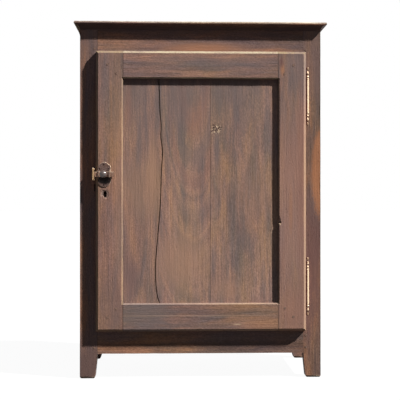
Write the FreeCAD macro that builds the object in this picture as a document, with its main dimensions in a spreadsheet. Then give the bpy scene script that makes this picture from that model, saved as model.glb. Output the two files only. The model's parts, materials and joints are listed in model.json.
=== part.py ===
import FreeCAD, Part
import math
import os

import Sketcher

# One-door country cupboard of pegged frames and panels, in millimetres.
# Frame: +Z up, the front towards -Y, the origin on the floor under the middle of the whole object.
# Sizes are worked out from the case front, the common front face of the front posts and rails.

DIMENSIONS = (
    # Case
    ("case_width", 840.0, "width across the posts"),
    ("case_depth", 420.0, "case front to the back of the back boards"),
    ("carcass_height", 1213.0, "floor to the top of the posts"),
    ("post_width", 61.0, "post, across the front"),
    ("post_depth", 40.0, "post, front to back"),
    ("foot_width", 52.0, "front post at the floor, where the foot is tapered on its inner side"),
    ("rear_foot_width", 40.0, "rear post at the floor"),
    ("foot_height", 86.0, "floor to the underside of the bottom rails"),
    ("foot_rounding", 8.0, "worn edge round the bottom of a foot"),
    ("rail_thickness", 24.0, "front and rear rails"),
    ("side_rail_thickness", 22.0, "side rails"),
    ("bottom_rail_height", 91.5, "bottom rails, all round"),
    ("top_rail_height", 87.0, "top rails, all round"),
    ("side_panel_thickness", 8.0, "side panel"),
    ("side_panel_setback", 7.0, "outer face of the side frame to the panel"),
    ("groove_depth", 8.0, "groove for a side panel"),
    ("groove_end_gap", 1.0, "room for a panel to swell at the bottom of its groove"),
    ("groove_clearance", 0.15, "play on each face of a panel in its groove"),
    # Mortise and tenon joints
    ("tenon_thickness", 8.0, "all tenons of the case and the door"),
    ("tenon_setback", 8.0, "rail face to the tenon, front and rear rails"),
    ("tenon_shoulder", 12.0, "rail edge to the tenon, in the case"),
    ("tenon_length", 42.0, "front and rear rails"),
    ("side_tenon_length", 28.0, "side rails"),
    ("mortise_clearance", 0.15, "play on each face of a tenon"),
    ("mortise_end_gap", 1.0, "end of a tenon to the bottom of its mortise"),
    ("peg_radius", 4.0, "oak pegs through the joints"),
    ("peg_clearance", 0.1, "play round a peg"),
    ("peg_length", 30.0, "pegs of the front joints"),
    ("side_peg_length", 17.0, "pegs of the side joints"),
    ("peg_proud", 0.5, "end of a peg above the wood"),
    ("peg_from_shoulder", 10.0, "joint line to the peg, in the case"),
    ("peg_inset", 21.0, "lower edge of a rail to its lower peg, in the case"),
    ("peg_upper_inset", 30.0, "upper edge of a rail to its upper peg, in the case"),
    # Back, floor, shelves
    ("back_board_thickness", 12.0, "back boards"),
    ("back_rebate", 12.0, "width of the rear posts' rebate for the back boards"),
    ("board_gap", 0.8, "open joint between boards that lie side by side"),
    ("fit_gap", 0.5, "play round loose boards"),
    ("floor_thickness", 18.0, "floor boards"),
    ("bearer_width", 24.0, "strips that carry the floor and the shelves"),
    ("bearer_height", 24.0, "strips that carry the floor and the shelves"),
    ("shelf_thickness", 18.0, "shelves"),
    ("lower_shelf_height", 477.0, "floor of the room to the underside of the lower shelf"),
    ("upper_shelf_height", 795.0, "floor of the room to the underside of the upper shelf"),
    # Cornice and top
    ("cornice_height", 28.0, "cornice and top boards"),
    ("cornice_overhang", 20.0, "front and sides"),
    ("cornice_seat", 30.0, "width of the cornice that lies on the case"),
    ("cove_radius", 19.0, "hollow under the cornice"),
    ("return_drop", 21.0, "lower edge of the taller left moulding, below the top of the case"),
    ("return_hollow", 2.0, "depth of the taller moulding's hollow"),
    # Door
    ("door_gap", 1.0, "case front to the back of the door"),
    ("door_thickness", 22.0, "door frame"),
    ("door_left_lap", 5.0, "door over the left post"),
    ("door_right_lap", 7.5, "door over the right post"),
    ("door_top_lap", 11.5, "door over the top rail"),
    ("door_bottom_lap", 12.0, "door over the bottom rail"),
    ("lock_stile_width", 94.5, "left door stile"),
    ("hinge_stile_width", 98.0, "right door stile"),
    ("door_bottom_rail_height", 98.0, "bottom door rail"),
    ("door_top_rail_height", 96.5, "top door rail"),
    ("door_bevel", 8.5, "bevel round the outside of the door"),
    ("door_inner_bevel", 4.5, "bevel round the panel opening"),
    ("door_groove_depth", 10.0, "groove for the door panel"),
    ("door_groove_end_gap", 2.0, "room for the door panel to swell"),
    ("door_tenon_length", 70.0, "door rails"),
    ("door_tenon_shoulder", 16.0, "outer edge of a door rail to its tenon"),
    ("panel_recess", 10.5, "door front to the panel"),
    ("panel_thickness", 8.0, "door panel"),
    ("panel_joint", 303.0, "left edge of the panel opening to the joint of the right board"),
    ("panel_joint_gap", 0.6, "open joint between the panel boards"),
    ("panel_split_gap", 3.2, "split that runs the height of the panel"),
    ("door_peg_near", 23.0, "joint line to the inner peg"),
    ("door_peg_far", 53.0, "joint line to the outer peg"),
    ("door_peg_low", 18.0, "panel opening to the inner peg"),
    ("door_peg_high", 48.0, "panel opening to the outer peg"),
    # Hinges
    ("hinge_inset", 154.0, "end of the door to the split of a hinge"),
    ("barrel_radius", 5.2, "hinge barrel"),
    ("barrel_length", 57.0, "one half of the barrel"),
    ("barrel_edge_gap", 1.0, "door edge to the barrel"),
    ("barrel_face_gap", 0.8, "case front to the barrel"),
    ("barrel_split_gap", 0.3, "gap between the two halves of the barrel"),
    ("pin_radius", 3.0, "hinge pin"),
    ("pin_clearance", 0.05, "running fit of the pin"),
    ("pin_reach", 42.0, "hinge pin in each half"),
    ("pin_end_gap", 0.5, "end of the pin to the end of the upper bore"),
    ("leaf_thickness", 2.0, "hinge leaf"),
    ("leaf_reach", 38.0, "hinge axis to the end of a leaf"),
    ("leaf_height", 49.0, "hinge leaf"),
    ("leaf_end_gap", 4.0, "split of the hinge to the leaf"),
    ("leaf_clearance", 0.2, "play round a leaf in its slot"),
    ("finial_button", 11.0, "length of the end button of a finial"),
    ("finial_button_radius", 4.0, "end button"),
    ("finial_vase", 15.0, "length of the vase"),
    ("finial_vase_radius", 4.8, "vase"),
    ("finial_bead", 7.0, "length of the bead"),
    ("finial_bead_radius", 5.2, "bead"),
    ("finial_collar", 5.0, "length of the collar at the barrel"),
    ("finial_collar_radius", 5.5, "collar"),
    ("finial_neck", 2.4, "length of each neck between them"),
    ("finial_neck_radius", 2.4, "necks"),
    ("finial_groove_radius", 3.6, "foot of the bead and the collar"),
    # Slide latch
    ("latch_rise", 543.5, "bottom of the door to the middle of the latch"),
    ("latch_from_edge", 30.0, "left edge of the door to the middle of the latch plate"),
    ("plate_half_width", 22.5, "latch plate"),
    ("plate_half_height", 43.0, "latch plate"),
    ("plate_side", 27.0, "half the height of the straight sides of the plate"),
    ("plate_crown_bulge", 2.5, "rise of the curves that meet at the plate's point"),
    ("plate_thickness", 2.0, "latch plate"),
    ("plate_bevel", 0.7, "filed edge of the plate"),
    ("bolt_height", 17.0, "latch bolt"),
    ("bolt_thickness", 4.5, "latch bolt"),
    ("bolt_length", 66.0, "latch bolt"),
    ("bolt_play", 0.3, "play round the latch bolt"),
    ("bolt_tip_gap", 0.8, "latch bolt, drawn back, to the keeper"),
    ("bolt_tip_bulge", 2.0, "rounding of the bolt's tip"),
    ("strap_thickness", 1.8, "straps over the bolt"),
    ("strap_width", 5.0, "straps over the bolt"),
    ("strap_foot", 5.0, "length of a strap's foot on the plate"),
    ("strap_right_offset", 15.0, "middle of the plate to the right strap"),
    ("nail_spread", 15.5, "middle of the plate to the side nails, across"),
    ("nail_rise", 19.5, "middle of the plate to the side nails, up and down"),
    ("nail_end_rise", 35.0, "middle of the plate to the end nails"),
    ("nail_radius", 1.1, "shank of a latch nail"),
    ("nail_head_radius", 2.7, "head of a latch nail"),
    ("nail_crown_radius", 1.5, "flat on top of a nail head"),
    ("nail_head_height", 1.3, "head of a latch nail"),
    ("nail_length", 9.0, "latch nail under its head"),
    ("nail_clearance", 0.1, "play round nails and screws"),
    ("knob_radius", 13.5, "ball of the knob"),
    ("knob_offset", 1.0, "middle of the plate to the knob, towards the door's edge"),
    ("knob_neck_radius", 3.6, "neck of the knob"),
    ("knob_neck_length", 6.0, "latch bolt to the ball"),
    ("knob_collar_radius", 4.8, "collar of the knob on the bolt"),
    ("knob_collar_height", 1.6, "collar of the knob on the bolt"),
    ("knob_stem_radius", 2.0, "rivet of the knob in the bolt"),
    ("knob_stem_clearance", 0.05, "play round the rivet"),
    ("keeper_width", 6.0, "staple on the post"),
    ("keeper_half_height", 21.5, "staple on the post"),
    ("keeper_bar", 4.0, "thickness of the staple's bar"),
    ("keeper_leg", 5.0, "thickness of the staple's legs"),
    ("keeper_gap", 4.0, "door edge to the staple"),
    ("keeper_play", 1.2, "latch bolt to the staple's bar"),
    ("keeper_spike", 16.0, "staple in the post"),
    ("keeper_rounding", 2.2, "bent corners of the staple"),
    # Rim lock behind the keyhole
    ("keyhole_drop", 64.0, "middle of the latch to the round of the keyhole"),
    ("keyhole_from_edge", 33.0, "left edge of the door to the keyhole"),
    ("keyhole_radius", 5.6, "round of the keyhole"),
    ("keyhole_slot_width", 8.0, "slot of the keyhole"),
    ("keyhole_slot_drop", 14.5, "slot of the keyhole, below the middle of the round"),
    ("lock_edge_gap", 5.0, "post to the lock"),
    ("lock_plate_width", 78.0, "lock plate"),
    ("lock_plate_height", 92.0, "lock plate"),
    ("lock_plate_thickness", 2.0, "lock plate"),
    ("lock_above_keyhole", 3.0, "round of the keyhole to the middle of the lock"),
    ("lock_case_width", 64.0, "lock case"),
    ("lock_case_height", 72.0, "lock case"),
    ("lock_case_depth", 15.0, "lock case"),
    ("lock_wall", 2.0, "wall of the lock case"),
    ("lock_bolt_height", 20.0, "lock bolt"),
    ("lock_bolt_thickness", 9.0, "lock bolt"),
    ("lock_bolt_length", 58.0, "lock bolt"),
    ("lock_bolt_rise", 16.0, "middle of the lock to the middle of its bolt"),
    ("lock_bolt_play", 0.3, "play round the lock bolt"),
    ("lock_throw", 14.0, "travel of the lock bolt"),
    ("lock_mortise_depth", 12.0, "pocket in the post for the lock bolt"),
    ("lock_mortise_margin", 3.0, "room round the lock bolt in the post"),
    ("stump_radius", 3.0, "stud of the lock case that guides its bolt"),
    ("stump_setback", 36.0, "front edge of the lock to the stud"),
    ("screw_inset", 5.0, "edge of the lock plate to its screws"),
    ("screw_radius", 2.0, "shank of a lock screw"),
    ("screw_head_radius", 3.4, "head of a lock screw"),
    ("screw_head_height", 1.6, "head of a lock screw"),
    ("screw_length", 12.0, "lock screw under its head"),
)

BACK_BOARDS = 4
FLOOR_BOARDS = ("front", "middle", "rear")
SIDES = (("left", -1), ("right", 1))
QUARTER_BULGE = 1 - math.sqrt(0.5)
BELLY_SHARE = 0.4

# Natural split of the door panel: (share of the panel's height, distance from the opening's left edge).
SPLIT_LINE = (
    (0.0, 129.5),
    (0.04, 119.0),
    (0.09, 113.5),
    (0.15, 111.5),
    (0.25, 116.0),
    (0.33, 121.5),
    (0.41, 127.0),
    (0.49, 130.5),
    (0.59, 132.5),
    (0.7, 134.5),
    (0.735, 130.5),
    (0.78, 131.5),
    (0.83, 128.5),
    (0.93, 125.0),
    (1.0, 123.0),
)


class Size:
    """A length that knows its value and the expression that ties it to the sheet."""

    def __init__(self, text, value):
        self.text = text
        self.value = value

    def __add__(self, other):
        other = size(other)
        return Size(f"({self.text} + {other.text})", self.value + other.value)

    def __sub__(self, other):
        other = size(other)
        return Size(f"({self.text} - {other.text})", self.value - other.value)

    def __mul__(self, other):
        other = size(other)
        return Size(f"({self.text} * {other.text})", self.value * other.value)

    def __truediv__(self, other):
        other = size(other)
        return Size(f"({self.text} / {other.text})", self.value / other.value)

    def __rsub__(self, other):
        return size(other) - self

    def __neg__(self):
        return 0 - self

    __radd__ = __add__
    __rmul__ = __mul__


class Sheet:
    """The driving dimensions, each read as an attribute that is bound to its cell."""

    def __init__(self, document):
        table = document.addObject("Spreadsheet::Sheet", "Dims")
        for row, (alias, value, meaning) in enumerate(DIMENSIONS, 1):
            table.set(f"A{row}", str(value))
            table.setAlias(f"A{row}", alias)
            table.set(f"B{row}", meaning)
            setattr(self, alias, Size(f"Dims.{alias}", value))
        document.recompute()


def size(number):
    """A plain number as a Size."""
    return number if isinstance(number, Size) else Size(repr(float(number)), float(number))


def root(length):
    """Square root of a Size."""
    return Size(f"sqrt({length.text})", math.sqrt(length.value))


doc = FreeCAD.newDocument("Cupboard")
dim = Sheet(doc)
sub_parts = []

# Places that several pieces share, measured from the case front and the middle of the case.
half_width = dim.case_width / 2
post_inner = half_width - dim.post_width
side_inner = half_width - dim.side_rail_thickness
panel_inner = half_width - dim.side_panel_setback - dim.side_panel_thickness
rear_post_front = dim.case_depth - dim.post_depth
rear_rail_back = dim.case_depth - dim.back_board_thickness
rear_rail_front = rear_rail_back - dim.rail_thickness
bottom_rail = (dim.foot_height, dim.foot_height + dim.bottom_rail_height)
top_rail = (dim.carcass_height - dim.top_rail_height, dim.carcass_height)
floor_low = bottom_rail[1] - dim.floor_thickness

door_left = -post_inner - dim.door_left_lap
door_right = post_inner + dim.door_right_lap
door_low = bottom_rail[1] - dim.door_bottom_lap
door_high = top_rail[0] + dim.door_top_lap
door_back = -dim.door_gap
door_front = door_back - dim.door_thickness
opening_x = (door_left + dim.lock_stile_width, door_right - dim.hinge_stile_width)
opening_z = (door_low + dim.door_bottom_rail_height, door_high - dim.door_top_rail_height)
door_tenon_y = (door_front + dim.panel_recess, door_front + dim.panel_recess + dim.tenon_thickness)
door_panel_y = (door_front + dim.panel_recess, door_front + dim.panel_recess + dim.panel_thickness)

hinge_x = door_right + dim.barrel_edge_gap + dim.barrel_radius
hinge_y = -dim.barrel_face_gap - dim.barrel_radius
hinge_splits = (("upper", door_high - dim.hinge_inset), ("lower", door_low + dim.hinge_inset))
leaf_half = dim.leaf_thickness / 2

latch_x = door_left + dim.latch_from_edge
latch_z = door_low + dim.latch_rise
plate_front = door_front - dim.plate_thickness
bolt_back = plate_front - dim.bolt_play
bolt_front = bolt_back - dim.bolt_thickness
keeper_x = (door_left - dim.keeper_gap - dim.keeper_width, door_left - dim.keeper_gap)
keeper_inner = bolt_front - dim.keeper_play
bolt_tip = keeper_x[1] + dim.bolt_tip_gap
knob_x = latch_x - dim.knob_offset
ball_drop = root(dim.knob_radius * dim.knob_radius - dim.knob_neck_radius * dim.knob_neck_radius)
knob_reach = dim.knob_neck_length + ball_drop + dim.knob_radius

keyhole_x = door_left + dim.keyhole_from_edge
keyhole_z = latch_z - dim.keyhole_drop
lock_left = dim.lock_edge_gap - post_inner
lock_z = keyhole_z + dim.lock_above_keyhole
lock_plate_back = door_back + dim.lock_plate_thickness
lock_case_y = (lock_plate_back, lock_plate_back + dim.lock_case_depth)
lock_bolt_middle = (lock_case_y[0] + lock_case_y[1] - dim.lock_wall) / 2

# The knob stands furthest forward, so it sets where the middle of the object lies.
case_front = (knob_reach - bolt_front - dim.case_depth) / 2


def span(side, near, far):
    """Low and high end of a stretch that lies from near to far on one side of the middle."""
    return (near, far) if side > 0 else (-far, -near)


def around(middle, half):
    """Low and high end of a stretch about its middle."""
    return middle - half, middle + half


def grow(stretch, clearance):
    """A stretch made longer at both ends."""
    return stretch[0] - clearance, stretch[1] + clearance


def length_of(stretch):
    return stretch[1] - stretch[0]


def rectangle(across, up):
    """Corners of a rectangle between two stretches."""
    return [(across[0], up[0]), (across[1], up[0]), (across[1], up[1]), (across[0], up[1])]


def bind(item, name, value):
    """Tie one property of an object to the sheet."""
    item.setExpression(name, size(value).text)


def keep(item):
    """Enter an object in the list of sub-parts."""
    sub_parts.append(item)
    return item


def place(item, x, y, z):
    """Tie an object's place to the sheet, with y measured from the case front."""
    for axis, value in zip("xyz", (x, case_front + y, z)):
        bind(item, f"Placement.Base.{axis}", value)


def new_body(name, x=0, y=0, z=0):
    body = doc.addObject("PartDesign::Body", name)
    place(body, x, y, z)
    return body


def new_sketch(body, name, plane, start):
    """An empty sketch on one of the body's own planes, moved along the third axis."""
    sketch = body.newObject("Sketcher::SketchObject", name)
    support = next(item for item in body.Origin.OriginFeatures if item.Role == f"{plane}_Plane")
    sketch.AttachmentSupport = (support, [""])
    sketch.MapMode = "FlatFace"
    bind(sketch, "AttachmentOffset.Base.z", -size(start) if plane == "XZ" else start)
    return sketch


def fix_point(sketch, geometry, point, across, up):
    """Hold one point of a sketch at a place that follows the sheet."""
    for kind, axis, value in (("DistanceX", -2, size(across)), ("DistanceY", -1, size(up))):
        if value.value == 0:
            sketch.addConstraint(Sketcher.Constraint("PointOnObject", geometry, point, axis))
        else:
            datum = Sketcher.Constraint(kind, -1, 1, geometry, point, value.value)
            number = sketch.addConstraint(datum)
            bind(sketch, f"Constraints[{number}]", value)


def fix_radius(sketch, geometry, radius):
    number = sketch.addConstraint(Sketcher.Constraint("Radius", geometry, radius.value))
    bind(sketch, f"Constraints[{number}]", radius)


def point_of(across, up):
    return FreeCAD.Vector(size(across).value, size(up).value, 0)


def add_edge(sketch, corner, following):
    """Add the edge between two corners: a line, an arc or a parabola.

    A corner is (across, up), with the rise of an arc that bulges to the right of the walk as a third
    item, or with the point where a parabola's end tangents meet.
    """
    start = point_of(*corner[:2])
    end = point_of(*following[:2])
    if len(corner) == 2:
        return sketch.addGeometry(Part.LineSegment(start, end), False), 1, 2
    if isinstance(corner[2], tuple):
        return add_parabola(sketch, start, corner[2], end), 1, 2
    bulge = corner[2]
    walk = end - start
    right = FreeCAD.Vector(walk.y, -walk.x, 0).normalize()
    middle = (start + end) / 2 + right * bulge.value
    edge = sketch.addGeometry(Part.Arc(start, middle, end), False)
    across = size(following[0]) - corner[0]
    up = size(following[1]) - corner[1]
    rise = bulge if bulge.value > 0 else -bulge
    fix_radius(sketch, edge, ((across * across + up * up) / 4 + rise * rise) / (rise * 2))
    from_first, from_last = (sketch.getPoint(edge, point).distanceToPoint(start) for point in (1, 2))
    return (edge, 1, 2) if from_first < from_last else (edge, 2, 1)


def add_parabola(sketch, start, meeting, end):
    """Add a parabola from start to end, and tie the point where its end tangents meet to the sheet."""
    curve = Part.BSplineCurve()
    curve.buildFromPolesMultsKnots([start, point_of(*meeting), end], [3, 3], [0.0, 1.0], False, 2)
    edge = sketch.addGeometry(curve, False)
    middle_pole = len(sketch.Geometry) + 1
    sketch.exposeInternalGeometry(edge)
    fix_point(sketch, middle_pole, 3, *meeting)
    return edge


def draw(sketch, corners):
    """Draw one closed outline from its corners."""
    edges = [add_edge(sketch, *pair) for pair in zip(corners, corners[1:] + corners[:1])]
    for (edge, first, last), (following, entry, leave) in zip(edges, edges[1:] + edges[:1]):
        sketch.addConstraint(Sketcher.Constraint("Coincident", edge, last, following, entry))
    for (edge, first, last), corner in zip(edges, corners):
        fix_point(sketch, edge, first, corner[0], corner[1])


def extrude(kind, body, name, plane, outlines, start, length):
    """Pad or pocket closed outlines along the axis that is square to the plane, from start upwards."""
    sketch = new_sketch(body, f"{name}_sketch", plane, start)
    for corners in outlines:
        draw(sketch, corners)
    feature = body.newObject(f"PartDesign::{kind}", name)
    feature.Profile = sketch
    feature.Reversed = (plane == "XZ") == (kind == "Pad")
    bind(feature, "Length", length)
    return feature


def pad(body, name, plane, outlines, stretch):
    return extrude("Pad", body, name, plane, outlines, stretch[0], length_of(stretch))


def pocket(body, name, plane, outlines, stretch):
    return extrude("Pocket", body, name, plane, outlines, stretch[0], length_of(stretch))


def round_feature(kind, body, name, plane, centres, radius, stretch):
    """Pad or pocket circles along the axis that is square to the plane."""
    sketch = new_sketch(body, f"{name}_sketch", plane, stretch[0])
    for across, up in centres:
        middle = FreeCAD.Vector(size(across).value, size(up).value, 0)
        circle = sketch.addGeometry(Part.Circle(middle, FreeCAD.Vector(0, 0, 1), radius.value), False)
        fix_radius(sketch, circle, radius)
        fix_point(sketch, circle, 3, across, up)
    feature = body.newObject(f"PartDesign::{kind}", name)
    feature.Profile = sketch
    feature.Reversed = (plane == "XZ") == (kind == "Pad")
    bind(feature, "Length", length_of(stretch))
    return feature


def holes(body, name, plane, centres, radius, stretch):
    return round_feature("Pocket", body, name, plane, centres, radius, stretch)


def revolve(body, name, plane, corners):
    """Turn an outline about the body's upright axis of that plane."""
    sketch = new_sketch(body, f"{name}_sketch", plane, 0)
    draw(sketch, corners)
    feature = body.newObject("PartDesign::Revolution", name)
    feature.Profile = sketch
    feature.ReferenceAxis = (sketch, ["V_Axis"])
    feature.Angle = 360.0
    return feature


def edges_where(feature, test):
    """Names of the edges of a feature whose ends and middle all pass a test."""
    doc.recompute()
    names = []
    for number, edge in enumerate(feature.Shape.Edges, 1):
        points = [vertex.Point for vertex in edge.Vertexes] + [edge.CenterOfMass]
        if all(test(point) for point in points):
            names.append(f"Edge{number}")
    return names


def same(value, length):
    return abs(value - size(length).value) < 1e-6


def dress(kind, body, name, feature, edges, amount):
    """Chamfer or fillet some edges of a feature."""
    dressed = body.newObject(f"PartDesign::{kind}", name)
    dressed.Base = (feature, edges)
    bind(dressed, "Radius" if kind == "Fillet" else "Size", amount)
    return dressed


def cylinder(name, radius, length, axis, x, y, z):
    """A round bar that starts at a point and runs along +x, +y or +z."""
    turns = {
        "x": FreeCAD.Rotation(FreeCAD.Vector(0, 1, 0), 90),
        "y": FreeCAD.Rotation(FreeCAD.Vector(1, 0, 0), -90),
        "z": FreeCAD.Rotation(),
    }
    bar = doc.addObject("Part::Cylinder", name)
    bar.Placement = FreeCAD.Placement(FreeCAD.Vector(), turns[axis])
    bind(bar, "Radius", radius)
    bind(bar, "Height", length)
    place(bar, x, y, z)
    return bar


def group(name, items):
    """Like fasteners in one node, each a solid of its own."""
    compound = doc.addObject("Part::Compound", name)
    compound.Links = items
    return keep(compound)


def tenon_height(rail):
    return grow(rail, -dim.tenon_shoulder)


def peg_heights(*rails):
    """Heights of the two pegs in each end of some rails."""
    heights = []
    for rail in rails:
        heights += [rail[0] + dim.peg_inset, rail[1] - dim.peg_upper_inset]
    return heights


def side_tenon_x(side):
    outer = half_width - dim.side_panel_setback
    return span(side, outer - dim.tenon_thickness, outer)


def side_panel_x(side):
    return span(side, panel_inner, half_width - dim.side_panel_setback)


def side_peg_y():
    return dim.post_depth - dim.peg_from_shoulder, rear_post_front + dim.peg_from_shoulder


def make_post(end, name, side):
    """A post with its tapered foot, its mortises, peg holes and the groove for the side panel."""
    front = end == "front"
    body = new_body(f"{end}_{name}_post")
    depth = (size(0), dim.post_depth) if front else (rear_post_front, dim.case_depth)
    foot_width = dim.foot_width if front else dim.rear_foot_width
    corners = [
        (half_width * side, 0),
        ((half_width - foot_width) * side, 0),
        (post_inner * side, dim.foot_height),
        (post_inner * side, dim.carcass_height),
        (half_width * side, dim.carcass_height),
    ]
    blank = pad(body, "post", "XZ", [corners], depth)
    floor_edges = edges_where(blank, lambda point: same(point.z, 0))
    dress("Fillet", body, "foot_edge", blank, floor_edges, dim.foot_rounding)

    rail_front = size(0) if front else rear_rail_front
    tenon_y = (rail_front + dim.tenon_setback, rail_front + dim.tenon_setback + dim.tenon_thickness)
    mortise_z = [grow(tenon_height(rail), dim.mortise_clearance) for rail in (bottom_rail, top_rail)]
    mortises = [rectangle(grow(tenon_y, dim.mortise_clearance), stretch) for stretch in mortise_z]
    pocket(body, "rail_mortises", "YZ", mortises,
           span(side, post_inner, post_inner + dim.tenon_length + dim.mortise_end_gap))

    side_depth = dim.side_tenon_length + dim.mortise_end_gap
    inner_y = dim.post_depth if front else rear_post_front
    side_y = (inner_y - side_depth, inner_y) if front else (inner_y, inner_y + side_depth)
    side_x = grow(side_tenon_x(side), dim.mortise_clearance)
    pocket(body, "side_mortises", "XZ", [rectangle(side_x, stretch) for stretch in mortise_z], side_y)

    groove_y = (inner_y - dim.groove_depth, inner_y) if front else (inner_y, inner_y + dim.groove_depth)
    groove = rectangle(grow(side_panel_x(side), dim.groove_clearance),
                       grow((bottom_rail[1], top_rail[0]), dim.groove_depth))
    pocket(body, "panel_groove", "XZ", [groove], groove_y)

    hole = dim.peg_radius + dim.peg_clearance
    peg_y = side_peg_y()[0 if front else 1]
    heights = peg_heights(bottom_rail, top_rail)
    holes(body, "side_peg_holes", "YZ", [(peg_y, height) for height in heights], hole,
          span(side, half_width - dim.side_peg_length, half_width))
    if front:
        peg_x = (post_inner + dim.peg_from_shoulder) * side
        holes(body, "front_peg_holes", "XZ", [(peg_x, height) for height in heights], hole,
              (size(0), dim.peg_length))
    else:
        rebate = rectangle(span(side, post_inner, post_inner + dim.back_rebate),
                           (dim.foot_height, dim.carcass_height))
        pocket(body, "back_rebate", "XZ", [rebate], (rear_rail_back, dim.case_depth))
    return keep(body)


def fit_lock_side(post):
    """Cut the lock's pocket and the two holes of the staple in the left front post."""
    bolt_y, bolt_z = (grow(stretch, dim.lock_mortise_margin) for stretch in lock_bolt_section())
    pocket(post, "lock_pocket", "YZ", [rectangle(bolt_y, bolt_z)],
           (-post_inner - dim.lock_mortise_depth, -post_inner))
    leg_x = grow(keeper_x, dim.nail_clearance)
    legs = [rectangle(leg_x, grow(leg, dim.nail_clearance)) for leg in keeper_legs()]
    pocket(post, "staple_holes", "XZ", legs, (size(0), dim.keeper_spike + dim.mortise_end_gap))


def fit_hinge_side(post):
    """Cut the slots for the hinge leaves in the right front post."""
    across = around(hinge_x, leaf_half + dim.leaf_clearance)
    slots = []
    for name, split in hinge_splits:
        leaf = (split - dim.leaf_end_gap - dim.leaf_height, split - dim.leaf_end_gap)
        slots.append(rectangle(across, grow(leaf, dim.leaf_clearance)))
    pocket(post, "leaf_slots", "XZ", slots, (size(0), hinge_y + dim.leaf_reach + dim.mortise_end_gap))


def make_cross_rail(name, front, rail, pegged):
    """A rail between two posts, with a tenon at each end."""
    body = new_body(name)
    pad(body, "rail", "XZ", [rectangle((-post_inner, post_inner), rail)], (front, front + dim.rail_thickness))
    ends = post_inner + dim.tenon_length
    tenon_y = (front + dim.tenon_setback, front + dim.tenon_setback + dim.tenon_thickness)
    pad(body, "tenons", "XZ", [rectangle((-ends, ends), tenon_height(rail))], tenon_y)
    if pegged:
        peg_x = post_inner + dim.peg_from_shoulder
        centres = [(peg_x * side, height) for label, side in SIDES for height in peg_heights(rail)]
        holes(body, "peg_holes", "XZ", centres, dim.peg_radius + dim.peg_clearance, tenon_y)
    return keep(body)


def make_side_rail(name, side, rail, groove_z):
    """A rail between a front and a rear post, with two tenons and the groove for the side panel."""
    body = new_body(name)
    outline = rectangle((dim.post_depth, rear_post_front), rail)
    pad(body, "rail", "YZ", [outline], span(side, side_inner, half_width))
    tenons = (dim.post_depth - dim.side_tenon_length, rear_post_front + dim.side_tenon_length)
    pad(body, "tenons", "YZ", [rectangle(tenons, tenon_height(rail))], side_tenon_x(side))
    pocket(body, "panel_groove", "XZ", [rectangle(grow(side_panel_x(side), dim.groove_clearance), groove_z)],
           (dim.post_depth, rear_post_front))
    centres = [(peg_y, height) for peg_y in side_peg_y() for height in peg_heights(rail)]
    holes(body, "peg_holes", "YZ", centres, dim.peg_radius + dim.peg_clearance, side_tenon_x(side))
    return keep(body)


def make_side_panel(name, side):
    body = new_body(f"{name}_side_panel")
    entry = dim.groove_depth - dim.groove_end_gap
    pad(body, "panel", "YZ", [rectangle(grow((dim.post_depth, rear_post_front), entry),
                                        grow((bottom_rail[1], top_rail[0]), entry))], side_panel_x(side))
    return keep(body)


def make_back_boards():
    """Upright boards in the rebates of the rear posts, on the backs of the rear rails."""
    across = grow(grow((-post_inner, post_inner), dim.back_rebate), -dim.fit_gap)
    width = (length_of(across) - dim.board_gap * (BACK_BOARDS - 1)) / BACK_BOARDS
    for number in range(BACK_BOARDS):
        low = across[0] + (width + dim.board_gap) * number
        body = new_body(f"back_board_{number + 1}")
        pad(body, "board", "XZ", [rectangle((low, low + width), (dim.foot_height, dim.carcass_height))],
            (rear_rail_back, dim.case_depth))
        keep(body)


def make_bearer(name, side, outer, top):
    """A strip from post to post that carries boards on its top."""
    body = new_body(name)
    section = rectangle(span(side, outer - dim.bearer_width, outer), (top - dim.bearer_height, top))
    pad(body, "strip", "XZ", [section], (dim.post_depth, rear_post_front))
    return keep(body)


def make_floor():
    """Floor boards that lie on the bearers, notched round the four posts."""
    depth = grow((dim.rail_thickness, rear_rail_front), -dim.fit_gap)
    width = (length_of(depth) - dim.board_gap * (len(FLOOR_BOARDS) - 1)) / len(FLOOR_BOARDS)
    end = side_inner - dim.fit_gap
    notch_x = post_inner - dim.fit_gap
    for number, name in enumerate(FLOOR_BOARDS):
        low = depth[0] + (width + dim.board_gap) * number
        high = low + width
        notch_front = dim.post_depth + dim.fit_gap
        notch_rear = rear_post_front - dim.fit_gap
        outlines = {
            "front": [(-notch_x, low), (notch_x, low), (notch_x, notch_front), (end, notch_front),
                      (end, high), (-end, high), (-end, notch_front), (-notch_x, notch_front)],
            "middle": rectangle((-end, end), (low, high)),
            "rear": [(-end, low), (end, low), (end, notch_rear), (notch_x, notch_rear),
                     (notch_x, high), (-notch_x, high), (-notch_x, notch_rear), (-end, notch_rear)],
        }
        body = new_body(f"floor_board_{name}")
        pad(body, "board", "XY", [outlines[name]], (floor_low, bottom_rail[1]))
        keep(body)


def make_shelf(name, height):
    """A shelf board and the two strips that carry it."""
    body = new_body(f"{name}_shelf")
    end = panel_inner - dim.fit_gap
    depth = grow((dim.post_depth, rear_post_front), -dim.fit_gap)
    pad(body, "board", "XY", [rectangle((-end, end), depth)], (height, height + dim.shelf_thickness))
    keep(body)
    for label, side in SIDES:
        make_bearer(f"{name}_shelf_cleat_{label}", side, panel_inner, height)


def cornice_profile(case_face, outward, tall=False):
    """Section of the cornice: seat, hollow, square edge, top. Outward is the sign of the overhang."""
    low = dim.carcass_height
    high = low + dim.cornice_height
    hollow = [(case_face, low, dim.cove_radius * QUARTER_BULGE * -outward)]
    if tall:
        hollow = [(case_face, low), (case_face, low - dim.return_drop, dim.return_hollow * -outward)]
    return [
        (case_face - dim.cornice_seat * outward, low),
        *hollow,
        (case_face + dim.cove_radius * outward, low + dim.cove_radius),
        (case_face + dim.cornice_overhang * outward, low + dim.cove_radius),
        (case_face + dim.cornice_overhang * outward, high),
        (case_face - dim.cornice_seat * outward, high),
    ]


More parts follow.
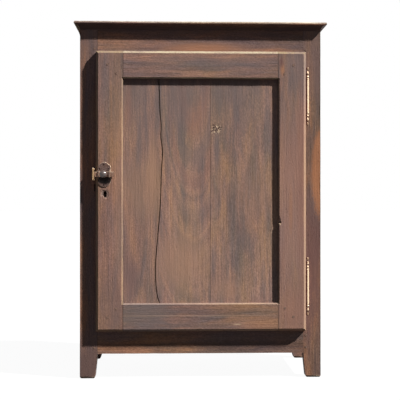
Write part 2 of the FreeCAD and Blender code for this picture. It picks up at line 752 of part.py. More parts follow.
def make_cornice():
    """Coved mouldings on the front and sides, mitred at the front corners. The left one is taller."""
    heights = (dim.carcass_height - dim.return_drop, dim.carcass_height + dim.cornice_height)
    tip_x = half_width + dim.cornice_overhang
    inner_x = half_width - dim.cornice_seat
    tip_y = -dim.cornice_overhang
    front = new_body("cornice_front")
    pad(front, "moulding", "YZ", [cornice_profile(size(0), -1)], (-tip_x, tip_x))
    mitres = [[(tip_x * side, tip_y), (tip_x * side, dim.cornice_seat), (inner_x * side, dim.cornice_seat)]
              for label, side in SIDES]
    pocket(front, "mitres", "XY", mitres, heights)
    keep(front)
    for label, side in SIDES:
        body = new_body(f"cornice_{label}")
        profile = cornice_profile(half_width * side, side, tall=side < 0)
        pad(body, "moulding", "XZ", [profile], (tip_y, dim.case_depth))
        mitre = [(tip_x * side, tip_y), (inner_x * side, tip_y), (inner_x * side, dim.cornice_seat)]
        pocket(body, "mitre", "XY", [mitre], heights)
        keep(body)


def make_top_boards():
    """Two boards that close the top, level with the cornice."""
    end = half_width - dim.cornice_seat
    width = (dim.case_depth - dim.cornice_seat - dim.board_gap) / 2
    for name, low in (("front", dim.cornice_seat), ("rear", dim.case_depth - width)):
        body = new_body(f"top_board_{name}")
        pad(body, "board", "XY", [rectangle((-end, end), (low, low + width))],
            (dim.carcass_height, dim.carcass_height + dim.cornice_height))
        keep(body)


def make_case_pegs():
    pegs = []
    front_length = dim.peg_length + dim.peg_proud
    side_length = dim.side_peg_length + dim.peg_proud
    for height in peg_heights(bottom_rail, top_rail):
        for label, side in SIDES:
            peg_x = (post_inner + dim.peg_from_shoulder) * side
            front_place = (peg_x, -dim.peg_proud, height)
            pegs.append(cylinder("front_peg", dim.peg_radius, front_length, "y", *front_place))
            low = span(side, half_width - dim.side_peg_length, half_width + dim.peg_proud)[0]
            for peg_y in side_peg_y():
                pegs.append(cylinder("side_peg", dim.peg_radius, side_length, "x", low, peg_y, height))
    return group("case_pegs", pegs)


def door_tenon_heights():
    """Height of the tenons of the bottom and top door rails, which stop at the panel groove."""
    low = (door_low + dim.door_tenon_shoulder, opening_z[0] - dim.door_groove_depth)
    high = (opening_z[1] + dim.door_groove_depth, door_high - dim.door_tenon_shoulder)
    return low, high


def door_peg_places():
    """Two pegs in each corner of the door frame, set on the slant."""
    places = []
    for across, up in ((dim.door_peg_near, dim.door_peg_low), (dim.door_peg_far, dim.door_peg_high)):
        for x in (opening_x[0] - across, opening_x[1] + across):
            places += [(x, opening_z[0] - up), (x, opening_z[1] + up)]
    return places


def ease_opening(body):
    """Bevel the arrises round the panel opening, mitred at its corners."""
    wedge = body.newObject("PartDesign::SubtractiveWedge", "opening_bevel")
    wide_x = grow(opening_x, dim.door_inner_bevel)
    wide_z = grow(opening_z, dim.door_inner_bevel)
    places = {
        "Ymin": door_front, "Ymax": door_front + dim.door_inner_bevel,
        "Xmin": wide_x[0], "Xmax": wide_x[1], "Zmin": wide_z[0], "Zmax": wide_z[1],
        "X2min": opening_x[0], "X2max": opening_x[1], "Z2min": opening_z[0], "Z2max": opening_z[1],
    }
    for name, value in places.items():
        setattr(wedge, name, value.value)
        bind(wedge, name, value)


def bevel_outside(body, blank):
    """Bevel the front arrises on the outside of the door."""
    def outer(point):
        at_edge = (same(point.x, door_left) or same(point.x, door_right)
                   or same(point.z, door_low) or same(point.z, door_high))
        return same(point.y, door_front) and at_edge
    dress("Chamfer", body, "outer_bevel", blank, edges_where(blank, outer), dim.door_bevel)


def make_door_stile(name, stretch, inner, outward):
    """A door stile with its bevels, panel groove, mortises and peg holes."""
    body = new_body(name)
    blank = pad(body, "stile", "XZ", [rectangle(stretch, (door_low, door_high))], (door_front, door_back))
    bevel_outside(body, blank)
    ease_opening(body)
    groove_x = span(outward, inner * outward, inner * outward + dim.door_groove_depth)
    pocket(body, "panel_groove", "XZ", [rectangle(groove_x, grow(opening_z, dim.door_groove_depth))],
           grow(door_panel_y, dim.groove_clearance))
    mortise_x = span(outward, inner * outward, inner * outward + dim.door_tenon_length + dim.mortise_end_gap)
    mortises = [rectangle(mortise_x, grow(height, dim.mortise_clearance)) for height in door_tenon_heights()]
    pocket(body, "mortises", "XZ", mortises, grow(door_tenon_y, dim.mortise_clearance))
    centres = [(x, z) for x, z in door_peg_places() if stretch[0].value < x.value < stretch[1].value]
    holes(body, "peg_holes", "XZ", centres, dim.peg_radius + dim.peg_clearance, (door_front, door_back))
    return keep(body)


def make_door_rail(name, rail, tenon, groove):
    """A door rail with its bevels, tenons, panel groove and peg holes."""
    body = new_body(name)
    blank = pad(body, "rail", "XZ", [rectangle(opening_x, rail)], (door_front, door_back))
    bevel_outside(body, blank)
    ease_opening(body)
    pad(body, "tenons", "XZ", [rectangle(grow(opening_x, dim.door_tenon_length), tenon)], door_tenon_y)
    groove_y = grow(door_panel_y, dim.groove_clearance)
    pocket(body, "panel_groove", "XZ", [rectangle(opening_x, groove)], groove_y)
    centres = [(x, z) for x, z in door_peg_places() if rail[0].value < z.value < rail[1].value]
    holes(body, "peg_holes", "XZ", centres, dim.peg_radius + dim.peg_clearance, door_tenon_y)
    return keep(body)


def fit_latch_side(stile):
    """Cut the keyhole and the holes of the latch nails and lock screws in the left stile."""
    through = (door_front, door_back)
    cut_keyhole(stile, through)
    holes(stile, "nail_holes", "XZ", latch_nail_places(), dim.nail_radius + dim.nail_clearance,
          (door_front, plate_front + dim.nail_length + dim.mortise_end_gap))
    holes(stile, "screw_holes", "XZ", lock_screw_places(), dim.screw_radius + dim.nail_clearance,
          (lock_plate_back - dim.screw_length - dim.mortise_end_gap, door_back))


def fit_hinge_stile(stile):
    """Cut the slots for the hinge leaves in the right stile."""
    slots = []
    for name, split in hinge_splits:
        leaf = (split + dim.leaf_end_gap, split + dim.leaf_end_gap + dim.leaf_height)
        slots.append(rectangle((hinge_x - dim.leaf_reach - dim.mortise_end_gap, door_right),
                               grow(leaf, dim.leaf_clearance)))
    pocket(stile, "leaf_slots", "XZ", slots, around(hinge_y, leaf_half + dim.leaf_clearance))


def cut_keyhole(body, through):
    """Round of the keyhole and the slot under it."""
    holes(body, "keyhole_round", "XZ", [(keyhole_x, keyhole_z)], dim.keyhole_radius, through)
    slot_x = around(keyhole_x, dim.keyhole_slot_width / 2)
    slot_z = (keyhole_z - dim.keyhole_slot_drop, keyhole_z)
    pocket(body, "keyhole_slot", "XZ", [rectangle(slot_x, slot_z)], through)


def make_door_panel():
    """Three boards of the door panel: a wandering split on the left, a straight joint on the right."""
    entry = (dim.door_groove_depth - dim.door_groove_end_gap).value
    left = opening_x[0].value - entry
    right = opening_x[1].value + entry
    low = opening_z[0].value - entry
    high = opening_z[1].value + entry
    front = door_panel_y[0].value
    joint = opening_x[0].value + dim.panel_joint.value
    half_joint = dim.panel_joint_gap.value / 2
    half_split = dim.panel_split_gap.value / 2

    def split_edge(offset):
        points = [FreeCAD.Vector(opening_x[0].value + across + offset, front, low + share * (high - low))
                  for share, across in SPLIT_LINE]
        curve = Part.BSplineCurve()
        curve.interpolate(points)
        return curve.toShape()

    def straight_edge(x):
        return Part.makeLine(FreeCAD.Vector(x, front, low), FreeCAD.Vector(x, front, high))

    boards = {
        "left": (straight_edge(left), split_edge(-half_split)),
        "middle": (split_edge(half_split), straight_edge(joint - half_joint)),
        "right": (straight_edge(joint + half_joint), straight_edge(right)),
    }
    for name, (start, end) in boards.items():
        bottom = Part.makeLine(start.firstVertex().Point, end.firstVertex().Point)
        top = Part.makeLine(start.lastVertex().Point, end.lastVertex().Point)
        face = Part.Face(Part.Wire(Part.sortEdges([start, bottom, end, top])[0]))
        board = doc.addObject("Part::Feature", f"door_panel_{name}")
        board.Shape = face.extrude(FreeCAD.Vector(0, dim.panel_thickness.value, 0))
        place(board, 0, 0, 0)
        keep(board)


def make_door_pegs():
    length = dim.door_thickness + dim.peg_proud
    pegs = [cylinder("door_peg", dim.peg_radius, length, "y", x, door_front - dim.peg_proud, z)
            for x, z in door_peg_places()]
    return group("door_pegs", pegs)


def bead(start, length, foot, belly, way):
    """One turned swelling: its two feet on the profile, with a parabola between them."""
    top = start + length * BELLY_SHARE * way
    return [(foot, start, (belly * 2 - foot, top)), (foot, start + length * way)]


def hinge_profile(way):
    """Half section of a hinge half, from the split to the tip. Way is up or down along the axis."""
    split = dim.barrel_split_gap / 2 * way
    at = dim.barrel_length * way
    corners = [(0, split), (dim.barrel_radius, split), (dim.barrel_radius, at)]
    swellings = (
        (dim.finial_collar, dim.finial_groove_radius, dim.finial_collar_radius),
        (dim.finial_bead, dim.finial_groove_radius, dim.finial_bead_radius),
        (dim.finial_vase, dim.finial_neck_radius, dim.finial_vase_radius),
    )
    for length, foot, belly in swellings:
        corners += bead(at, length, foot, belly, way)
        at = at + (length + dim.finial_neck) * way
    tip = at + dim.finial_button * way
    corners += [
        (dim.finial_neck_radius, at, (dim.finial_button_radius, at)),
        (dim.finial_button_radius, (at + tip) / 2, (dim.finial_button_radius, tip)),
        (0, tip),
    ]
    return corners


def make_hinge(name, split):
    """A two-part hinge: the case half holds the pin, the door half turns on it."""
    bore = dim.pin_radius + dim.pin_clearance
    root_radius = (bore + dim.barrel_radius) / 2
    for label, way in (("case_half", -1), ("door_half", 1)):
        body = new_body(f"{name}_hinge_{label}", hinge_x, hinge_y, split)
        revolve(body, "turning", "XZ", hinge_profile(way))
        plane, leaf_across = {
            -1: ("YZ", (root_radius, dim.leaf_reach)),
            1: ("XZ", (-dim.leaf_reach, -root_radius)),
        }[way]
        leaf_z = span(way, dim.leaf_end_gap, dim.leaf_end_gap + dim.leaf_height)
        pad(body, "leaf", plane, [rectangle(leaf_across, leaf_z)], (-leaf_half, leaf_half))
        holes(body, "bore", "XY", [(0, 0)], bore, span(way, size(0), dim.pin_reach))
        keep(body)
    keep(cylinder(f"{name}_hinge_pin", dim.pin_radius, dim.pin_reach * 2 - dim.pin_end_gap, "z",
                  hinge_x, hinge_y, split - dim.pin_reach))


def latch_nail_places():
    places = [(latch_x, latch_z + dim.nail_end_rise), (latch_x, latch_z - dim.nail_end_rise)]
    for side in (-1, 1):
        for way in (-1, 1):
            places.append((latch_x + dim.nail_spread * side, latch_z + dim.nail_rise * way))
    return places


def make_latch_plate():
    """Cut-out iron plate: pointed at the top, straight at the sides, round at the bottom."""
    body = new_body("latch_plate")
    left, right = around(latch_x, dim.plate_half_width)
    low, high = around(latch_z, dim.plate_side)
    corners = [
        (left, low, dim.plate_half_height - dim.plate_side),
        (right, low),
        (right, high, dim.plate_crown_bulge),
        (latch_x, latch_z + dim.plate_half_height, dim.plate_crown_bulge),
        (left, high),
    ]
    blank = pad(body, "plate", "XZ", [corners], (plate_front, door_front))
    front_edges = edges_where(blank, lambda point: same(point.y, plate_front))
    dress("Chamfer", body, "filed_edge", blank, front_edges, dim.plate_bevel)
    holes(body, "nail_holes", "XZ", latch_nail_places(), dim.nail_radius + dim.nail_clearance,
          (plate_front, door_front))
    return keep(body)


def make_latch_straps():
    """Two bent straps that hold the bolt against the plate."""
    inside = dim.bolt_height / 2 + dim.bolt_play
    outside = inside + dim.strap_thickness
    foot = outside + dim.strap_foot
    under = bolt_front - dim.bolt_play
    over = under - dim.strap_thickness
    foot_front = plate_front - dim.strap_thickness
    section = [
        (plate_front, latch_z - foot), (plate_front, latch_z - inside), (under, latch_z - inside),
        (under, latch_z + inside), (plate_front, latch_z + inside), (plate_front, latch_z + foot),
        (foot_front, latch_z + foot), (foot_front, latch_z + outside), (over, latch_z + outside),
        (over, latch_z - outside), (foot_front, latch_z - outside), (foot_front, latch_z - foot),
    ]
    left = latch_x - dim.plate_half_width
    right = latch_x + dim.strap_right_offset
    for name, low in (("left", left), ("right", right)):
        body = new_body(f"latch_strap_{name}")
        pad(body, "strap", "YZ", [section], (low, low + dim.strap_width))
        keep(body)


def make_latch_nails():
    nails = []
    for x, z in latch_nail_places():
        head = doc.addObject("Part::Cone", "nail_head")
        head.Placement = FreeCAD.Placement(FreeCAD.Vector(), FreeCAD.Rotation(FreeCAD.Vector(1, 0, 0), -90))
        bind(head, "Radius1", dim.nail_crown_radius)
        bind(head, "Radius2", dim.nail_head_radius)
        bind(head, "Height", dim.nail_head_height)
        place(head, x, plate_front - dim.nail_head_height, z)
        shank = cylinder("nail_shank", dim.nail_radius, dim.nail_length, "y", x, plate_front, z)
        nails.append(joined("latch_nail", head, shank))
    return group("latch_nails", nails)


def joined(name, first, second):
    whole = doc.addObject("Part::Fuse", name)
    whole.Base = first
    whole.Tool = second
    return whole


def make_latch_bolt():
    """Flat bolt with a rounded tip and the hole for the knob's rivet."""
    body = new_body("latch_bolt")
    low, high = around(latch_z, dim.bolt_height / 2)
    tip = bolt_tip + dim.bolt_tip_bulge
    end = bolt_tip + dim.bolt_length
    pad(body, "bar", "XZ", [[(tip, high, dim.bolt_tip_bulge), (tip, low), (end, low), (end, high)]],
        (bolt_front, bolt_back))
    holes(body, "rivet_hole", "XZ", [(knob_x, latch_z)], dim.knob_stem_radius + dim.knob_stem_clearance,
          (bolt_front, bolt_back))
    return keep(body)


def make_latch_knob():
    """Turned ball knob on a collared neck, riveted through the bolt."""
    body = new_body("latch_knob", knob_x, bolt_front, latch_z)
    ball_start = -dim.knob_neck_length
    ball_end = -knob_reach
    chord_x = dim.knob_neck_radius
    chord_y = knob_reach - dim.knob_neck_length
    half_chord = (chord_x * chord_x + chord_y * chord_y) / 4
    bulge = dim.knob_radius - root(dim.knob_radius * dim.knob_radius - half_chord)
    corners = [
        (0, dim.bolt_thickness),
        (0, ball_end, bulge),
        (dim.knob_neck_radius, ball_start),
        (dim.knob_neck_radius, -dim.knob_collar_height),
        (dim.knob_collar_radius, -dim.knob_collar_height),
        (dim.knob_collar_radius, 0),
        (dim.knob_stem_radius, 0),
        (dim.knob_stem_radius, dim.bolt_thickness),
    ]
    revolve(body, "turning", "XY", corners)
    return keep(body)


def keeper_legs():
    """Heights of the upper and lower leg of the staple."""
    low, high = around(latch_z, dim.keeper_half_height)
    return (low, low + dim.keeper_leg), (high - dim.keeper_leg, high)


def make_keeper():
    """Iron staple driven into the post, behind which the bolt slides."""
    body = new_body("latch_keeper")
    lower, upper = keeper_legs()
    outer = keeper_inner - dim.keeper_bar
    section = [
        (outer, lower[0]), (dim.keeper_spike, lower[0]),
        (dim.keeper_spike, lower[1]), (keeper_inner, lower[1]),
        (keeper_inner, upper[0]), (dim.keeper_spike, upper[0]),
        (dim.keeper_spike, upper[1]), (outer, upper[1]),
    ]
    blank = pad(body, "staple", "YZ", [section], keeper_x)

    def bent(point):
        return same(point.y, outer) and (same(point.z, lower[0]) or same(point.z, upper[1]))
    dress("Fillet", body, "bends", blank, edges_where(blank, bent), dim.keeper_rounding)
    return keep(body)


def lock_plate_spans():
    """Stretch of the lock plate across and up."""
    return (lock_left, lock_left + dim.lock_plate_width), around(lock_z, dim.lock_plate_height / 2)


def lock_bolt_section():
    """Stretch of the lock bolt front to back and up."""
    return (around(lock_bolt_middle, dim.lock_bolt_thickness / 2),
            around(lock_z + dim.lock_bolt_rise, dim.lock_bolt_height / 2))


def lock_screw_places():
    across, up = (grow(stretch, -dim.screw_inset) for stretch in lock_plate_spans())
    return [(x, z) for x in across for z in up]


def make_lock_plate():
    body = new_body("lock_plate")
    through = (door_back, lock_plate_back)
    pad(body, "plate", "XZ", [rectangle(*lock_plate_spans())], through)
    cut_keyhole(body, through)
    holes(body, "screw_holes", "XZ", lock_screw_places(), dim.screw_radius + dim.nail_clearance, through)
    return keep(body)


def make_lock_case():
    """Iron box over the lock's works, with a slot for the bolt and the stud that guides it."""
    body = new_body("lock_case")
    across = (lock_left, lock_left + dim.lock_case_width)
    up = around(lock_z, dim.lock_case_height / 2)
    pad(body, "box", "XZ", [rectangle(across, up)], lock_case_y)
    cavity_y = (lock_case_y[0], lock_case_y[1] - dim.lock_wall)
    cavity = rectangle(grow(across, -dim.lock_wall), grow(up, -dim.lock_wall))
    pocket(body, "cavity", "XZ", [cavity], cavity_y)
    bolt_y, bolt_z = (grow(stretch, dim.lock_bolt_play) for stretch in lock_bolt_section())
    pocket(body, "bolt_slot", "YZ", [rectangle(bolt_y, bolt_z)], (lock_left, lock_left + dim.lock_wall))
    stump = [(lock_left + dim.stump_setback, lock_z + dim.lock_bolt_rise)]
    round_feature("Pad", body, "stump", "XZ", stump, dim.stump_radius, cavity_y)
    return keep(body)


def make_lock_bolt():
    """Lock bolt, drawn back, with the slot that slides on the stud."""
    body = new_body("lock_bolt")
    depth, up = lock_bolt_section()
    pad(body, "bolt", "XZ", [rectangle((lock_left, lock_left + dim.lock_bolt_length), up)], depth)
    stump_x = lock_left + dim.stump_setback
    reach = dim.stump_radius + dim.lock_bolt_play
    slot = rectangle((stump_x - reach, stump_x + dim.lock_throw + reach),
                     around(lock_z + dim.lock_bolt_rise, reach))
    pocket(body, "guide_slot", "XZ", [slot], depth)
    return keep(body)


def make_lock_screws():
    screws = []
    for x, z in lock_screw_places():
        head_place = (x, lock_plate_back, z)
        head = cylinder("screw_head", dim.screw_head_radius, dim.screw_head_height, "y", *head_place)
        shank_start = lock_plate_back - dim.screw_length
        shank = cylinder("screw_shank", dim.screw_radius, dim.screw_length, "y", x, shank_start, z)
        screws.append(joined("lock_screw", head, shank))
    return group("lock_screws", screws)


def make_case():
    posts = {(end, name): make_post(end, name, side) for end in ("front", "rear") for name, side in SIDES}
    fit_lock_side(posts["front", "left"])
    fit_hinge_side(posts["front", "right"])
    make_cross_rail("front_top_rail", size(0), top_rail, True)
    make_cross_rail("front_bottom_rail", size(0), bottom_rail, True)
    make_cross_rail("rear_top_rail", rear_rail_front, top_rail, False)
    make_cross_rail("rear_bottom_rail", rear_rail_front, bottom_rail, False)
    for name, side in SIDES:
        top_groove = (top_rail[0], top_rail[0] + dim.groove_depth)
        bottom_groove = (bottom_rail[1] - dim.groove_depth, bottom_rail[1])
        make_side_rail(f"{name}_top_rail", side, top_rail, top_groove)
        make_side_rail(f"{name}_bottom_rail", side, bottom_rail, bottom_groove)
        make_side_panel(name, side)
        make_bearer(f"floor_bearer_{name}", side, side_inner, floor_low)
    make_back_boards()
    make_floor()
    make_shelf("lower", dim.lower_shelf_height)
    make_shelf("upper", dim.upper_shelf_height)
    make_cornice()
    make_top_boards()
    make_case_pegs()


def make_door():
    lock_stile = make_door_stile("door_lock_stile", (door_left, opening_x[0]), opening_x[0], -1)
    hinge_stile = make_door_stile("door_hinge_stile", (opening_x[1], door_right), opening_x[1], 1)
    fit_latch_side(lock_stile)
    fit_hinge_stile(hinge_stile)
    low_tenon, high_tenon = door_tenon_heights()
    make_door_rail("door_bottom_rail", (door_low, opening_z[0]), low_tenon,
                   (opening_z[0] - dim.door_groove_depth, opening_z[0]))
    make_door_rail("door_top_rail", (opening_z[1], door_high), high_tenon,
                   (opening_z[1], opening_z[1] + dim.door_groove_depth))
    make_door_panel()
    make_door_pegs()


def make_ironwork():
    for name, split in hinge_splits:
        make_hinge(name, split)
    make_latch_plate()
    make_latch_straps()
    make_latch_nails()
    make_latch_bolt()
    make_latch_knob()
    make_keeper()
    make_lock_plate()
    make_lock_case()
    make_lock_bolt()
    make_lock_screws()


def write_parts():
    """Check every object, then write one file for each sub-part."""
    doc.recompute()
    failed = [item.Name for item in doc.Objects if {"Invalid", "Error"} & set(item.State)]
    if failed:
        raise RuntimeError(f"objects that failed: {failed}")
    for item in sub_parts:
        if item.Shape.isNull() or not item.Shape.isValid() or not item.Shape.Solids:
            raise RuntimeError(f"{item.Label} has no valid solid")
    os.makedirs("parts", exist_ok=True)
    for item in sub_parts:
        item.Shape.exportStep(f"parts/{item.Label}.step")


make_case()
make_door()
make_ironwork()
write_parts()
print(f"{len(sub_parts)} sub-parts written")
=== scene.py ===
from collections import namedtuple
import json
import math

import bmesh
import bpy
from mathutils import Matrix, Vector, noise


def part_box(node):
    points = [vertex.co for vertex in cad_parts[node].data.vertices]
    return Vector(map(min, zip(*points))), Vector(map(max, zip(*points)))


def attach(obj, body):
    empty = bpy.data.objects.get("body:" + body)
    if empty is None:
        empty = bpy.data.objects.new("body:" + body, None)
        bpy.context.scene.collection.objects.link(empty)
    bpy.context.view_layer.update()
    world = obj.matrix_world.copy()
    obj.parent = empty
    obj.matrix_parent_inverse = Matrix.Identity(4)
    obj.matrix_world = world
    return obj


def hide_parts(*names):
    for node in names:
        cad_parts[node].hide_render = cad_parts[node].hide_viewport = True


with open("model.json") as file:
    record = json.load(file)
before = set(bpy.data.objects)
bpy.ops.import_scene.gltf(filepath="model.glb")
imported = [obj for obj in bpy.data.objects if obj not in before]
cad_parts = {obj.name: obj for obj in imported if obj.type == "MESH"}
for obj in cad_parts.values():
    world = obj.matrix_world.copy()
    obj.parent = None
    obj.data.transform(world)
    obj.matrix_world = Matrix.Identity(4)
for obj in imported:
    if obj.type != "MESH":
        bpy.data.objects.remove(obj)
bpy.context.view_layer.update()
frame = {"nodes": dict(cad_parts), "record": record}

# Looks of an old one-door cupboard: waxed and sun-bleached wood, forged iron, turned brass hinges.
# Places are in metres in the frame of the part: +Z up, the door towards -Y.

CASE_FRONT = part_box("front_top_rail")[0].y
DOOR_JOINTS = (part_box("door_lock_stile")[1].x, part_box("door_hinge_stile")[0].x)
CASE_JOINTS = (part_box("front_left_post")[1].x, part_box("front_right_post")[0].x)
CORNICE_LOW, CORNICE_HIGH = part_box("cornice_front")
CORNICE_OUTSIDES = ((0, CORNICE_LOW.x), (0, CORNICE_HIGH.x), (1, CORNICE_LOW.y))

AXES = {"x": Vector((1, 0, 0)), "y": Vector((0, 1, 0)), "z": Vector((0, 0, 1))}
SAME = 1e-4
LONG_ARRIS = 0.02
CROWN = 0.0055
SHARP_ANGLE = math.radians(30)
WHITE = (1.0, 1.0, 1.0, 1.0)


def srgb(red, green, blue):
    """A colour given as it shows on a screen, 0 to 255, as linear values."""
    def linear(value):
        value /= 255
        return value / 12.92 if value <= 0.04045 else ((value + 0.055) / 1.055) ** 2.4
    return linear(red), linear(green), linear(blue), 1.0


class Graph:
    """The nodes of a material or a world, written as nested calls."""

    def __init__(self, owner):
        owner.use_nodes = True
        self.owner = owner
        self.tree = owner.node_tree
        self.tree.nodes.clear()

    def add(self, kind, inputs=None, **settings):
        node = self.tree.nodes.new(kind)
        for name, value in settings.items():
            setattr(node, name, value)
        for name, value in (inputs or {}).items():
            self.feed(node.inputs[name], value)
        return node

    def feed(self, socket, value):
        if isinstance(value, bpy.types.NodeSocket):
            self.tree.links.new(value, socket)
        else:
            socket.default_value = value

    def place(self, output="Object"):
        """Position on the piece in metres, or the direction that its surface faces."""
        return self.add("ShaderNodeTexCoord").outputs[output]

    def showing(self):
        """1 for what the camera sees, also by reflection or through glass, and 0 for other light."""
        path = self.add("ShaderNodeLightPath").outputs
        seen = self.math("MAXIMUM", path["Is Camera Ray"], path["Is Glossy Ray"])
        return self.math("MAXIMUM", seen, path["Is Transmission Ray"])

    def math(self, operation, first, second=0.0):
        return self.add("ShaderNodeMath", {0: first, 1: second}, operation=operation).outputs[0]

    def total(self, *terms):
        """Sum of weighted values, each given as (value, weight)."""
        result = self.math("MULTIPLY", *terms[0])
        for value, weight in terms[1:]:
            result = self.math("ADD", result, self.math("MULTIPLY", value, weight))
        return result

    def vector(self, operation, first, second=(0.0, 0.0, 0.0)):
        node = self.add("ShaderNodeVectorMath", {0: first, 1: second}, operation=operation)
        return node.outputs["Value" if operation == "LENGTH" else "Vector"]

    def split(self, vector):
        return self.add("ShaderNodeSeparateXYZ", {0: vector}).outputs

    def noise(self, vector, scale, detail=3.0, roughness=0.55, distortion=0.0):
        node = self.add("ShaderNodeTexNoise", {
            "Vector": vector, "Scale": scale, "Detail": detail,
            "Roughness": roughness, "Distortion": distortion,
        })
        return node.outputs[0]

    def step(self, value, low, high, start=0.0, end=1.0):
        """Smooth change from start to end while the value goes from low to high."""
        node = self.add("ShaderNodeMapRange", {
            "Value": value, "From Min": low, "From Max": high, "To Min": start, "To Max": end,
        }, interpolation_type="SMOOTHSTEP")
        return node.outputs[0]

    def ramp(self, factor, stops):
        node = self.add("ShaderNodeValToRGB", {"Fac": factor})
        elements = node.color_ramp.elements
        while len(elements) < len(stops):
            elements.new(0.5)
        for element, (position, colour) in zip(elements, stops):
            element.position = position
            element.color = colour
        return node.outputs["Color"]

    def mix(self, factor, first, second):
        return self.add("ShaderNodeMix", {0: factor, 6: first, 7: second}, data_type="RGBA").outputs[2]

    def shade(self, colour, factor):
        """A colour made lighter or darker by a value."""
        return self.add("ShaderNodeVectorMath", {0: colour, "Scale": factor}, operation="SCALE").outputs[0]

    def ellipse(self, place, x, z, half_width, half_height):
        """Distance from a spot on the front, 1 on an ellipse round it."""
        reach = self.vector("SUBTRACT", place, (x, 0.0, z))
        shares = (1 / half_width, 0.0, 1 / half_height)
        return self.vector("LENGTH", self.vector("MULTIPLY", reach, shares))

    def squareness(self):
        """1 where the surface faces along an axis, less on bevels and rounded arrises."""
        facing = self.split(self.vector("ABSOLUTE", self.place("Normal")))
        return self.math("MAXIMUM", self.math("MAXIMUM", facing[0], facing[1]), facing[2])

    def bump(self, height, depth):
        return self.add("ShaderNodeBump", {"Height": height, "Distance": depth}).outputs["Normal"]

    def surface(self, inputs):
        shader = self.add("ShaderNodeBsdfPrincipled", inputs)
        self.add("ShaderNodeOutputMaterial", {"Surface": shader.outputs["BSDF"]})
        return self.owner


# From cool to warm, as the tone of one board changes.
WOODS = {name: tuple(srgb(*tone) for tone in tones) for name, tones in {
    "panel": ((113, 98, 93), (126, 104, 95), (136, 109, 97), (144, 114, 99), (157, 121, 99)),
    "door": ((112, 96, 92), (122, 99, 91), (130, 103, 92), (138, 107, 93), (150, 114, 93)),
    "case": ((104, 87, 84), (113, 91, 84), (120, 95, 85), (128, 99, 85), (148, 108, 86)),
    "inner": ((114, 94, 80), (127, 104, 87), (136, 110, 91), (144, 116, 95), (158, 126, 101)),
}.items()}
TONE_STEPS = (0.38, 0.46, 0.50, 0.55, 0.63)
# Olive to mauve, as factors of the tone.
TINTS = ((0.38, (1.01, 1.02, 0.91, 1.0)), (0.50, WHITE), (0.62, (1.01, 0.98, 1.02, 1.0)))
# How dark the lines are along which the boards of a frame meet.
JOINT_SHADES = {"door": 0.30, "case": 0.7}
RUBBED_WOOD = srgb(160, 149, 125)
BLEACHED_WOOD = srgb(182, 175, 156)
GOLDEN_WEAR = srgb(134, 117, 92)
GREY_WEAR = srgb(140, 126, 118)
BARE_CHIP = srgb(206, 178, 150)
# Dark brown of the cracks in knots, also painted shade inside the keyhole.
CRACK_AND_SHADE = srgb(52, 38, 34)
# Near black, for painted shadow on iron.
PAINTED_SHADOW = srgb(16, 11, 10)
BUMP_DEPTH = 0.0008
WAX_SHINE = 0.08

# A board: its grain runs along an axis, and wear is the share of its bevels that is rubbed bare.
Board = namedtuple("Board", "node grain palette tone wear", defaults=(0.0,))


